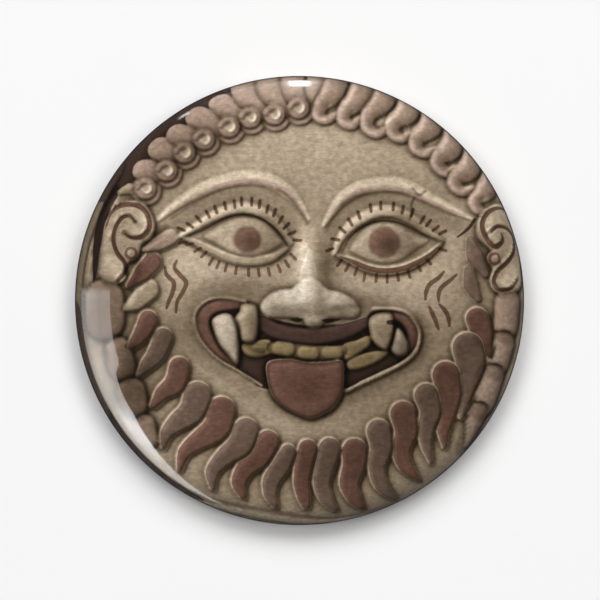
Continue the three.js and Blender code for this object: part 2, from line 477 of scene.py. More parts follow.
class Board:
    """A square drawing board that holds a carved relief and the paints on it, in millimetres."""

    FAR = 1.5  # how far round a stroke its distance is kept
    RELIEF_SOFTNESS = 0.10
    SHADOW_REACHES = np.geomspace(0.12, 3.2, 14)
    SHADOW_DROP = 0.25  # height over a point that puts it in full shadow
    SHADOW_SOFTNESS = 0.08
    SHADOW_DEPTH = 0.7
    HOLLOWS = ((0.35, 0.8), (0.9, 0.55), (2.2, 0.25))  # the size of each kind and how much it darkens
    HOLLOW_RANGE = (-0.35, 0.9)
    HOLLOW_DEPTH = 0.95
    SKY_RANGE = (0.2, 1.35)
    LAMP_SKY_RANGE = (0, 1.1)
    SKY_SHARE = 0.28  # of the light. The rest comes from the lamp

    def __init__(self, half_width: float, count: int) -> None:
        """Lays out the board.

        Args:
            half_width: From its middle to an edge.
            count: Points along a side.
        """
        axis = np.linspace(-half_width, half_width, count)
        self.axis = axis
        self.step = axis[1] - axis[0]
        self.x, self.y = np.meshgrid(axis, axis)
        self.base = np.zeros_like(self.x)
        self.detail = np.zeros_like(self.x)
        self.tone = np.ones_like(self.x)
        self.paints = {paint: np.full_like(self.x, self.FAR) for paint in Paint}

    def window(self, points: np.ndarray, reach: float) -> tuple[slice, slice]:
        """Gives the part of the board round some points.

        Args:
            points: The points, one row each.
            reach: How far round them it goes.

        Returns:
            Its rows and its columns.
        """
        low = np.searchsorted(self.axis, points.min(axis=0) - reach)
        high = np.searchsorted(self.axis, points.max(axis=0) + reach)
        return slice(low[1], high[1]), slice(low[0], high[0])

    def stroke(self, path: np.ndarray, radius: float | np.ndarray) -> Place:
        """Measures the distance to a brush stroke, whose width may change along it.

        Args:
            path: The stroke's middle.
            radius: Half its width, one value or one for each point.

        Returns:
            The window that it lies in, and the distance there, negative inside the stroke.
        """
        radii = np.broadcast_to(np.asarray(radius, float), len(path))
        window = self.window(path, radii.max() + self.FAR)
        x, y = self.x[window], self.y[window]
        nearest = np.full_like(x, np.inf)
        for (x0, y0), (x1, y1), r0, r1 in zip(path, path[1:], radii, radii[1:]):
            dx, dy = x1 - x0, y1 - y0
            t = np.clip(((x - x0) * dx + (y - y0) * dy) / max(dx * dx + dy * dy, 1e-12), 0, 1)
            gap = np.hypot(x - x0 - t * dx, y - y0 - t * dy) - (r0 + (r1 - r0) * t)
            np.minimum(nearest, gap, out=nearest)
        return window, nearest

    def shape(self, outline: np.ndarray) -> Place:
        """Measures the distance to a closed outline, negative inside it.

        Args:
            outline: The outline's points, without a repeat of the first.

        Returns:
            The window that it lies in, and the distance there.
        """
        window, nearest = self.stroke(np.vstack([outline, outline[:1]]), 0)
        x, y = self.x[window], self.y[window]
        inside = np.zeros(x.shape, bool)
        for (x0, y0), (x1, y1) in zip(outline, np.roll(outline, -1, axis=0)):
            if y0 != y1:
                crosses = (y0 > y) != (y1 > y)
                inside ^= crosses & (x < (x1 - x0) * (y - y0) / (y1 - y0) + x0)
        return window, np.where(inside, -nearest, nearest)

    def lay(self, place: Place, paint: Paint | None, inset: float = 0) -> None:
        """Paints a stroke or shape, over what is there. None leaves bare clay.

        Args:
            place: The window and distance.
            paint: The paint.
            inset: How far inside the edge the paint stops.
        """
        window, distance = place
        for other, field_ in self.paints.items():
            if other is not paint:
                np.maximum(field_[window], -distance, out=field_[window])
        if paint is not None:
            own = self.paints[paint]
            np.minimum(own[window], distance + inset, out=own[window])

    def line(self, place: Place, paint: Paint = Paint.INK) -> None:
        """Draws a stroke in a paint that lies over the others.

        Args:
            place: The window and distance.
            paint: The paint.
        """
        window, distance = place
        own = self.paints[paint]
        np.minimum(own[window], distance, out=own[window])

    def carve(
        self,
        place: Place,
        height: float,
        edge: float,
        level: float = 0,
        over: bool = False,
    ) -> None:
        """Raises a stroke or shape as a form with rounded edges.

        Args:
            place: The window and distance.
            height: How far its middle stands above its edge.
            edge: Width of its rounded edge.
            level: How high its edge stands.
            over: Whether it hides the detail under it, instead of joining it.
        """
        window, distance = place
        form = level + height * pillow(distance, edge)
        here = self.detail[window]
        if not over:
            form = np.maximum(here, form)
        self.detail[window] = np.where(distance < 0, form, here)

    def cut(self, place: Place, depth: float, edge: float) -> None:
        """Sinks a groove or hollow into what is there."""
        window, distance = place
        self.detail[window] -= depth * pillow(distance, edge)

    def swell(self, centre: Spot, size: Spot, height: float) -> None:
        """Adds a soft hill or, with a negative height, a soft hollow to the broad form."""
        self.base += height * self._hill(centre, size)

    def shade(self, centre: Spot, size: Spot, amount: float) -> None:
        """Lightens or darkens a soft patch."""
        self.tone *= 1 + amount * self._hill(centre, size)

    def glaze(self, path: np.ndarray, radius: float | np.ndarray, amount: float, soft: float) -> None:
        """Lightens or darkens along a stroke with a soft edge.

        Args:
            path: The stroke's middle.
            radius: Half its width, one value or one for each point.
            amount: Share of the tone that it adds, negative to darken.
            soft: Width of its soft edge.
        """
        window, distance = self.stroke(path, radius)
        self.tone[window] *= 1 + amount / (1 + np.exp(np.clip(distance * 3 / soft, -30, 30)))

    def _hill(self, centre: Spot, size: Spot) -> np.ndarray:
        """Gives a soft oval patch, 1 in its middle."""
        return np.exp(-(((self.x - centre[0]) / size[0]) ** 2 + ((self.y - centre[1]) / size[1]) ** 2))

    def blur(self, values: np.ndarray, radius: float) -> np.ndarray:
        """Softens values.

        Args:
            values: One for each point of the board.
            radius: Size of the round brush that softens them.

        Returns:
            The soft values.
        """
        waves = np.fft.fftfreq(len(self.axis), self.step)
        fall = np.exp(-2 * (math.pi * radius * waves) ** 2)
        soft = np.fft.fft2(values) * fall[:, None] * fall[None, :]
        return np.fft.ifft2(soft).real

    def light(self, azimuth_deg: float, height_deg: float) -> np.ndarray:
        """Lights the carved relief, as the print's picture was lit.

        Args:
            azimuth_deg: Direction that the light comes from.
            height_deg: Its height above the board.

        Returns:
            The light on each point, 1 on flat clay.
        """
        relief = self.blur(self.base + self.detail, self.RELIEF_SOFTNESS)
        azimuth, height = math.radians(azimuth_deg), math.radians(height_deg)
        from_x, from_y = math.cos(azimuth), math.sin(azimuth)
        slope_y, slope_x = np.gradient(relief, self.step)
        facing = math.sin(height) - math.cos(height) * (slope_x * from_x + slope_y * from_y)
        facing = np.clip(facing / np.sqrt(1 + slope_x**2 + slope_y**2), 0, None) / math.sin(height)
        blocked = np.zeros_like(relief)
        for reach in self.SHADOW_REACHES:
            shift = (-round(reach * from_y / self.step), -round(reach * from_x / self.step))
            above = np.roll(relief, shift, axis=(0, 1)) - relief - reach * math.tan(height)
            np.maximum(blocked, above, out=blocked)
        shadow = self.blur(np.clip(blocked / self.SHADOW_DROP, 0, 1), self.SHADOW_SOFTNESS)
        hollow = sum(
            np.clip((self.blur(relief, size) - relief) / size, *self.HOLLOW_RANGE) * share
            for size, share in self.HOLLOWS
        )
        open_sky = np.clip(1 - self.HOLLOW_DEPTH * hollow, *self.SKY_RANGE)
        lamp = facing * (1 - self.SHADOW_DEPTH * shadow) * np.clip(open_sky, *self.LAMP_SKY_RANGE)
        return self.tone * (self.SKY_SHARE * open_sky + (1 - self.SKY_SHARE) * lamp)

    def sample(self, values: np.ndarray, x: np.ndarray, y: np.ndarray) -> np.ndarray:
        """Reads values between the board's points.

        Args:
            values: What to read.
            x: Places to read at, across.
            y: Places to read at, up.

        Returns:
            The value at each place.
        """
        last = len(self.axis) - 1.001
        column = np.clip((x - self.axis[0]) / self.step, 0, last)
        row = np.clip((y - self.axis[0]) / self.step, 0, last)
        c, r = column.astype(int), row.astype(int)
        fc, fr = column - c, row - r
        low = values[r, c] * (1 - fc) + values[r, c + 1] * fc
        high = values[r + 1, c] * (1 - fc) + values[r + 1, c + 1] * fc
        return low * (1 - fr) + high * fr


# Broad hills and hollows of the face, each with its middle, size and height
FACE_HILLS = (
    ((1.5, -0.1), (23, 23), 2.6),
    ((-14.1, 0.1), (5.5, 6.5), 0.9),
    ((16.9, -1.2), (5.5, 6.5), 0.9),
    ((-7.9, 8.3), (9, 4.6), -0.9),
    ((11.4, 7.8), (9, 4.6), -0.9),
    ((0.7, -18), (9, 3.8), 0.7),
    ((1.1, 5), (1.9, 4.6), 1.2),
    ((0.1, 19.4), (12, 5), 0.6),
)

# Soft patches, each with its middle, size and the share of the tone that it adds
FACE_SHADES = (
    ((2.6, -11.8), (15, 8.5), -0.22),
    ((12.7, -10.9), (8, 7), -0.12),
    ((20.1, -3.8), (7, 9), -0.16),
    ((-15.2, -2.8), (4.2, 5), -0.30),
    ((-7.9, 1.5), (5.4, 1.9), -0.42),
    ((9.4, -0.2), (2.6, 1.5), -0.30),
    ((14.3, 0.6), (3, 2), -0.08),
    ((-16, 20.4), (8.5, 6), -0.28),
    ((-22.7, 14), (1.5, 1.2), -0.32),
    ((-8.3, 16.6), (4.5, 1.6), 0.06),
    ((-19.1, 7.8), (1.6, 1.6), -0.18),
    ((15.3, -4.8), (2, 3.2), -0.10),
    ((-10.9, -15.7), (6, 5), 0.10),
    ((0.1, 17.4), (3.4, 4.2), -0.06),
    ((12.3, 17.9), (6, 4), -0.07),
    ((-9, 17.5), (5, 3), 0.04),
    # Lightens the top of the hair a little: partly the hair's paler paint, partly a painted highlight where
    # the film's glint falls
    ((-1.9, 27.3), (5, 2.6), 0.02),
    ((-21.6, -10.5), (3, 7), -0.58),
    ((-26, -1.2), (2.6, 5), -0.36),
    ((24.9, -9.3), (3.6, 6.5), 0.20),
    ((-3.2, -16), (3.5, 1.6), 0.10),
    ((22.4, 3.7), (2.4, 4), -0.16),
    ((1.7, 11.2), (2.4, 3), -0.06),
    ((3.9, 5), (1.6, 3.4), -0.34),
    ((0.1, -22.9), (26, 6), -0.08),
    ((0.1, 20.7), (18, 6), 0.06),
    ((-12.2, 5), (4.5, 2.4), 0.17),
    ((-17.4, 9.8), (3, 2.6), 0.05),
    ((18.2, 15.6), (3, 4), -0.08),
)

# Soft lines on the face, each with its half width, the tone that it adds and its soft edge
FACE_LINES = (
    ([(-15.7, 10.1), (-12.2, 12.2), (-8.2, 13.2), (-4.8, 13.1), (-2.3, 11.7), (-0.6, 9.4)], 1, -0.20, 0.8),
    ([(3.9, 9.6), (5.9, 12), (9.1, 13.1), (13.2, 12.6), (16.9, 11), (20.1, 9.6)], 1, -0.22, 0.8),
    ([(-13.1, 0.1), (-14.1, -3.8), (-12.2, -7.4), (-9, -9.8), (-5.7, -11.6)], 0.7, -0.18, 0.9),
    ([(15.3, -2.3), (16.1, -5.1), (14.5, -7.9), (10.4, -10.5), (6.3, -12.3)], 0.8, -0.26, 0.9),
    ([(2.4, 22.3), (2.3, 19.4), (2.4, 16.6)], 0.3, 0.10, 0.4),
    ([(-0.5, 12.3), (-1.2, 7.8), (-2, 5)], 0.6, -0.10, 0.8),
)

# Beads of the braids, from the top down, each with its half widths
BRAID_BEADS = (
    ([(-25, 0.1), (-25, -2.5)], (2.6, 2.7)),
    ([(-23.2, -6.4), (-22.7, -8.5)], (1.7, 1.8)),
    ([(-21.5, -11.8), (-21, -13.4)], (1.9, 1.6)),
    ([(-19.8, -16), (-18.9, -18)], (1.4, 0.9)),
    ([(27, -0.5), (26.8, -3.3)], (2, 1.9)),
    ([(26.2, -5.9), (25.6, -8)], (2, 1.9)),
    ([(24.8, -10), (24, -13.4)], (1.9, 2)),
    ([(23, -14.7), (22.2, -19)], (1.7, 0.7)),
)

# Flame locks from right to left, from the head to the tail, each with its half widths
LOCKS = (
    ([(22.7, -2.3), (23.4, -4.5), (24.2, -6.7)], (1.4, 1.3, 0.5)),
    ([(21.5, -6), (21.9, -8.2), (21.4, -11), (21, -13.1), (20.7, -14.9)], (1.9, 1.8, 1.1, 0.7, 0.35)),
    ([(18.7, -9.5), (19.1, -11.8), (18.9, -14.1), (18.4, -16.5), (18.6, -18.8)], (1.7, 1.5, 1.1, 0.8, 0.3)),
    ([(16.2, -12.1), (16.7, -14.1), (16.2, -16.3), (16.2, -18.5), (16.9, -20.9)], (1.5, 1.3, 1, 0.7, 0.25)),
    ([(13.2, -14.5), (13.6, -16.7), (13, -19.1), (13.5, -21), (15.5, -23.3)], (1.6, 1.4, 1.1, 0.95, 0.2)),
    ([(10.1, -16.7), (10.4, -18.8), (9.9, -21.1), (10.4, -23.5), (12.6, -26.1)], (1.5, 1.35, 1.1, 0.9, 0.3)),
    ([(7, -19.2), (6.9, -21.1), (6.3, -23.3), (6.9, -25.1), (8, -26.8)], (1.55, 1.4, 1.2, 0.95, 0.4)),
    ([(3.8, -18.9), (3.3, -21), (2.8, -23.2), (3.3, -25.1), (4.5, -26.9)], (1.35, 1.2, 1.05, 0.9, 0.4)),
    ([(1, -18.9), (0.5, -21), (0.2, -23.2), (0.5, -25), (0.8, -26.3)], (1.15, 1.1, 1, 0.85, 0.5)),
    ([(-1.5, -19.3), (-2.4, -21.1), (-3.6, -22.9), (-3.8, -24.6), (-3.2, -26.2)],
     (0.95, 1.15, 1.1, 0.85, 0.4)),
    ([(-4.1, -18), (-5.4, -20), (-6.9, -21.4), (-7.8, -23.2), (-7.3, -25.1)], (1.4, 1.45, 1.15, 0.95, 0.4)),
    ([(-6.9, -16.5), (-7.7, -18.4), (-9.8, -20.1), (-11.2, -21.9), (-11.2, -24.1)],
     (1.5, 1.5, 1.1, 0.85, 0.3)),
    ([(-10, -14), (-10.7, -16.2), (-12.9, -17.8), (-14.8, -19.4), (-15.5, -21.7)],
     (1.7, 1.65, 1.2, 0.8, 0.3)),
    ([(-13.1, -12.1), (-13.9, -14.1), (-15.8, -15.6), (-17.1, -17), (-17.5, -18.8)],
     (1.7, 1.55, 1.15, 0.75, 0.25)),
    ([(-15.4, -8.5), (-16, -10.5), (-17.6, -11.8), (-18.8, -13.4)], (1.3, 1.3, 0.9, 0.4)),
    ([(-17.5, -4.7), (-18.4, -6.8), (-19.6, -8.2), (-20.6, -9.5)], (1.2, 1.1, 0.8, 0.3)),
    ([(-19.4, -2.4), (-20.1, -3.9), (-21, -5.1), (-21.8, -6)], (1.15, 1.05, 0.75, 0.3)),
)

# Short locks between an ear and the face, each with its half widths and its paint
SIDE_LOCKS = (
    ([(-19.3, 1.4), (-20.9, -0.2), (-22.4, -1.1)], (1.2, 0.9, 0.25), None),
    ([(-18.9, 5), (-20.1, 3.7), (-21.8, 2)], (1.15, 1.05, 0.4), Paint.RED),
    ([(-16.5, 8.1), (-18, 7.3), (-19.8, 6.5)], (0.9, 0.8, 0.25), Paint.HAIR),
)

# Middles of the round curls over the forehead, from left to right
ROUND_CURLS = (
    (-19.7, 14.3), (-17, 16.6), (-14.7, 18.9), (-12.2, 20.6),
    (-9, 22.2), (-6.3, 23.4), (-3.2, 23.8), (-0.1, 24.6),
)

# Bare spots in the hooks of the other curls, from left to right
HOOK_ENDS = (
    (3.7, 24.5), (6.8, 23.7), (10.4, 22.9), (13.5, 21.9),
    (16.5, 19.8), (19.2, 17.4), (21.3, 14.8), (23.8, 12.8),
)

# Lobes behind the round curls, from left to right, each with its half widths
ROUND_LOBES = (
    ([(-20.1, 16.7), (-19.3, 16.6), (-18.3, 16.3)], (1.4, 1.5, 1.3)),
    ([(-18, 19.5), (-17.3, 19.3), (-16, 18.9)], (1.6, 1.7, 1.3)),
    ([(-15.7, 21.3), (-14.9, 21), (-13.5, 20.6)], (1.5, 1.6, 1.3)),
    ([(-13.2, 23.7), (-12.1, 23.1), (-10.4, 22.2)], (1.6, 1.6, 1.3)),
    ([(-10.2, 25.5), (-9.2, 24.6), (-7.7, 23.6)], (1.6, 1.6, 1.3)),
    ([(-7.7, 29.4), (-6.9, 26.3), (-4.8, 24.1)], (1.7, 1.6, 1.3)),
    ([(-4.4, 31), (-3.8, 26.8), (-1.7, 24.6)], (1.7, 1.6, 1.3)),
    ([(-1, 31.3), (-0.7, 27), (0.1, 25.4)], (1.7, 1.6, 1.5)),
    ([(2.6, 31.2), (1.8, 27.3), (1.9, 25.9)], (1.3, 1.2, 0.9)),
)

# Middles of the hooked curls, from the rim to the hook's end, from left to right
HOOKED_CURLS = (
    [(5.4, 30.8), (4.2, 26.8), (2.9, 25.3), (2.4, 23.8), (3.4, 23.1), (4.7, 23.7)],
    [(9, 30), (7.6, 26.1), (6.1, 24.6), (5.6, 23.2), (6.7, 22.4), (7.8, 23.2)],
    [(12, 28.9), (10.6, 25.6), (9, 24), (8.7, 22.3), (9.9, 21.3), (11.3, 21.9)],
    [(15.2, 27.4), (13.9, 24.3), (12.2, 22.9), (12, 21.5), (13.1, 20.7), (14.4, 21.3)],
    [(18.3, 25.4), (16.9, 22.4), (15.1, 20.9), (15.1, 19.4), (16.3, 18.8), (17.6, 19.3)],
    [(21.3, 22.9), (19.6, 19.7), (17.9, 18.4), (17.9, 17.1), (18.9, 16.3), (20, 16.9)],
    [(23.9, 20.1), (22, 17.1), (20.1, 15.8), (20.1, 14.5), (21.1, 13.9), (22.3, 14.3)],
    [(26.4, 16.8), (24.2, 14.3), (22.6, 13), (22.8, 11.7), (24, 11.2)],
)

# Each ear's outline, its outer and inner line, its crescent, its lobe and its disc
EARS = (
    ([(-25.3, 7.8), (-24.9, 10.2), (-23.7, 11.8), (-21.9, 12.7), (-20.2, 12.6), (-19.1, 11.4),
     (-18.4, 9.6), (-18.9, 7.9), (-20.1, 7), (-20.6, 5.6), (-21.8, 4.8), (-22.2, 3.9), (-22.3, 2.6),
     (-23.6, 2), (-25, 2.3), (-25.7, 3.7), (-25.4, 5.8)],
     [(-24.9, 8.9), (-24.3, 11.1), (-22.7, 12.2), (-20.9, 12.2), (-19.6, 11.2), (-19.2, 9.4), (-20.1, 8.2),
      (-21.5, 8.1), (-22.4, 8.6)],
     [(-21, 10), (-21.8, 10.8), (-22.9, 10.4), (-23.7, 9), (-23.8, 7.4), (-23.3, 6), (-22.4, 4.8),
      (-22.3, 3.6), (-23.2, 2.5)],
     [(-20.2, 10.9), (-19.7, 9.9), (-20.1, 9), (-21.1, 8.7)], [(-24.1, 5), (-23.6, 3.8)], (-21.6, 6.1)),
    ([(22.7, 9.4), (23.2, 10.9), (24.5, 12), (26.3, 12.7), (28.6, 12.6), (29.5, 10.4), (30.4, 7.6),
     (29.8, 4.8), (29.6, 2.2), (28.2, 1), (26.3, 0.7), (24.9, 1.2), (24.4, 2.5), (24.7, 3.9), (24.2, 5),
     (24.5, 6.3), (23.6, 7.2), (22.8, 8.1)],
     [(28.2, 12.3), (25.7, 12), (24.1, 11.2), (23.4, 9.6), (24, 7.9), (25.1, 6.9), (26.1, 7.5), (26.2, 8.4)],
     [(24.5, 8.7), (25.6, 9.5), (27.4, 9.3), (28.5, 8.1), (28.1, 6.4), (26.8, 4.9), (25.4, 3.7),
      (24.9, 2.3), (25.6, 1.4), (27.2, 1.5), (28.6, 2.7)],
     [(24.3, 10.5), (24, 9.4), (24.5, 8.1)], [(26.6, 2.4), (27.7, 4)], (25, 5.4)),
)

# Each brow's ridge and the dull line under it
BROWS = (
    ([(-18, 10.3), (-16, 12), (-13.1, 13.8), (-10, 15.1), (-6.7, 15.7), (-3.6, 15.2), (-1.2, 13.6),
     (0.2, 12), (1.2, 10.4)],
     [(-16.5, 10.5), (-13.4, 12.5), (-10.3, 14.1), (-6.7, 14.9), (-3.7, 14.5), (-1.5, 13.4), (-0.1, 11.7),
      (1, 10)]),
    ([(3.2, 9.6), (4.1, 11.2), (5.6, 13), (7.8, 14.3), (10.4, 14.8), (13, 14.7), (15.1, 13.9),
     (18.2, 12.3), (22, 10.4)],
     [(3.6, 9.2), (5, 11.6), (6.5, 13), (8.6, 13.8), (11, 14), (13.2, 13.6), (15.6, 12.7), (18.7, 11.3),
      (21.8, 10.4)]),
)

# Each eye's lid, the line over its ball, its lower lid, its ball, its iris and its two rows of lashes.
# The iris is given with its half width and with that of the red line on the lower lid
EYES = (
    ([(-15.4, 8.1), (-13.1, 9.5), (-10.8, 10.8), (-8.7, 11.6), (-6.8, 11.8), (-5, 11.3), (-3.4, 10.3),
     (-2.1, 9), (-1.1, 7.3)],
     [(-14.7, 8.1), (-12.3, 9), (-10, 10.3), (-8.2, 10.9), (-6.7, 11), (-5, 10.5), (-3.6, 9.6),
      (-2.4, 8.3), (-1.5, 6.9)],
     [(-14.9, 8.1), (-12.1, 6.8), (-9.2, 5.5), (-6.4, 5), (-3.6, 5.4), (-1.5, 6.7)],
     [(-12.3, 8.1), (-10.8, 9.4), (-8.7, 10.4), (-6.7, 10.7), (-4.8, 10.3), (-3.3, 9.1), (-2.1, 7.4),
      (-3.6, 6.3), (-5.4, 5.6), (-6.9, 5.5), (-9, 6.1), (-10.8, 7.2)],
     ((-6.7, 7.8), 1.9, 0),
     ([(-15.1, 9.1), (-14, 9.6), (-12.9, 10.4), (-11.7, 11), (-10.7, 11.6), (-9.5, 12.1), (-8.3, 12.3),
      (-7.4, 12.6), (-6.1, 12.6), (-5.1, 12.3), (-4.1, 11.7), (-3.2, 11.2), (-2.4, 10.3), (-1.7, 9.5),
      (-1, 8.6), (-0.3, 7.7)],
      [(-14.9, 7.4), (-14, 7.2), (-13, 6.5), (-12.2, 5.9), (-11.3, 5), (-10.4, 4.6), (-9.4, 4.2),
       (-8.1, 3.9), (-6.5, 3.6), (-5.2, 3.6), (-3.9, 3.7), (-2.6, 4.1), (-1.6, 4.7), (-0.8, 5.6)])),
    ([(4.5, 6), (5.2, 7.8), (6.5, 9.4), (8.1, 10.5), (10, 11.3), (12.1, 11.3), (14.1, 10.5), (16.2, 9),
     (18.2, 7.6)],
     [(5.5, 6.3), (6.5, 8.1), (8.1, 9.4), (9.9, 10.1), (12, 10.1), (14, 9.4), (16.1, 8.3), (18.2, 7.6)],
     [(5, 5.7), (6.8, 5), (8.6, 4.2), (10.9, 3.8), (13.5, 4.2), (16.1, 5.5), (18.2, 7.3)],
     [(6.4, 6.5), (7.2, 8.1), (8.3, 9.2), (10.1, 10), (12.2, 9.9), (14.3, 8.9), (16.6, 7.7), (15.1, 6.5),
      (13.2, 5.2), (11.2, 4.6), (8.9, 5), (7.3, 5.7)],
     ((10.8, 7.4), 2.2, 0.34),
     ([(3.9, 6.5), (4.6, 7.8), (5.5, 9), (6.5, 10), (7.6, 10.9), (9.1, 11.8), (10.4, 12.1), (12, 12),
      (13.2, 11.6), (14.4, 11.2), (15.7, 10.3), (16.5, 9.9), (17.4, 9.2), (18.3, 8.7)],
      [(5.1, 4.8), (6.1, 4.2), (7.2, 3.7), (8.3, 3), (9.8, 2.9), (11.2, 2.8), (12.6, 3), (14, 3.4),
       (15.3, 4.2), (16.5, 5), (18.3, 6.5)])),
)

# Wavy lines on the cheeks
CHEEK_LINES = (
    [(-15.7, 5.1), (-16, 4.2), (-15.3, 3.3), (-14.5, 2.3), (-14.9, 1.1), (-15.6, -0.1), (-15.8, -1.5)],
    [(-17.2, 4.3), (-17, 3.3), (-16.1, 2.3), (-16.2, 1.1), (-16.7, -0.1), (-17, -1)],
    [(18.5, 3.7), (17.8, 2.9), (16.7, 2.1), (16.2, 1.1), (16.1, 0.1)],
    [(16.6, -0.8), (17.2, -2.1), (17.8, -3.7)],
    [(20.1, 3.3), (19.2, 2.5), (18.2, 1.7), (17.8, 0.8), (17.8, -0.1)],
    [(17.9, -0.5), (18.7, -1.4), (19.1, -2.3), (19.2, -3.3)],
)

# Bands inside the mouth, each with its half widths and its paint
LIPS = (
    ([(-6.9, -0.5), (-9.1, -0.6), (-11, -1), (-12.1, -2), (-12.2, -3.6), (-11.3, -5.4), (-10, -6.9),
     (-8.2, -8.2)], (0.6, 0.8, 0.88, 0.85, 0.6, 0.35), Paint.RED),
    ([(9.9, -1.9), (11.8, -1.9), (13.5, -2.5), (14.4, -3.8), (14.4, -5.4), (13.5, -6.8)],
     (0.3, 0.6, 0.65, 0.7, 0.5), Paint.LIP),
    ([(-4.8, -2.8), (-3, -3.9), (0.1, -4.6), (3.4, -4.5), (6.5, -3.7), (8.6, -2.8)], (0.9, 1, 1.1, 1, 0.7),
     Paint.MAROON),
)

# Outlines of the teeth at the sides
SIDE_TEETH = (
    [(5.6, -5.7), (7.3, -5.1), (8.9, -4.5), (9.1, -5.6), (7.3, -7), (5.9, -7.6)],
    [(6.1, -7.9), (8.6, -6.7), (11.4, -6.5), (9.9, -7.9), (6.8, -8.9)],
    [(-7.4, -5.7), (-5.9, -5.2), (-3.8, -5.1), (-3.6, -6.7), (-5.4, -7.3), (-6.9, -6.9)],
)

# Outlines of the tusks, each with its paint and its height
TUSKS = (
    ([(8.9, -2.5), (10, -1.6), (11.6, -1.6), (12.1, -2.8), (12, -4.6), (11.2, -6.3), (10.1, -6),
     (9.1, -4.7)], None, 0.6),
    ([(12.3, -3.6), (13.1, -3.9), (13.9, -5.4), (13.8, -6.7), (12.7, -7.2), (11.8, -6.5), (11.8, -5.4)],
     Paint.IVORY, 0.6),
    ([(-11.2, -2.9), (-10.7, -2), (-9.5, -1.6), (-8.5, -2), (-7.9, -3.3), (-7.7, -5.9), (-7.9, -8.1),
     (-9, -7.2), (-10.4, -5.4)], Paint.IVORY, 0.9),
    ([(-7.3, -0.5), (-5.6, -0.6), (-5.2, -2.3), (-5.4, -4.5), (-6, -5.4), (-7.3, -5.2), (-7.8, -3.6),
     (-8.3, -2.3), (-7.7, -1.4)], None, 0.8),
)

# Soft patches on the teeth, each with its middle, size and the share of the tone that it adds
MOUTH_SHADES = (
    ((10.7, -3.9), (1.6, 2.2), -0.38),
    ((13.1, -5.9), (1.1, 1.6), -0.48),
    ((-6.1, -3), (1.1, 2), -0.46),
    ((-9.1, -5.9), (1.2, 1.6), -0.16),
    ((-5, -6.4), (1.3, 0.9), -0.44),
    ((7.4, -6.4), (2, 1.3), -0.22),
)

# Soft patches on the nose, given in the same way
NOSE_SHADES = (
    ((-2.9, -0.5), (1.6, 1.2), -0.28),
    ((5.6, -0.7), (2.1, 1.1), -0.36),
    ((2.8, -0.2), (1.3, 0.9), -0.14),
)


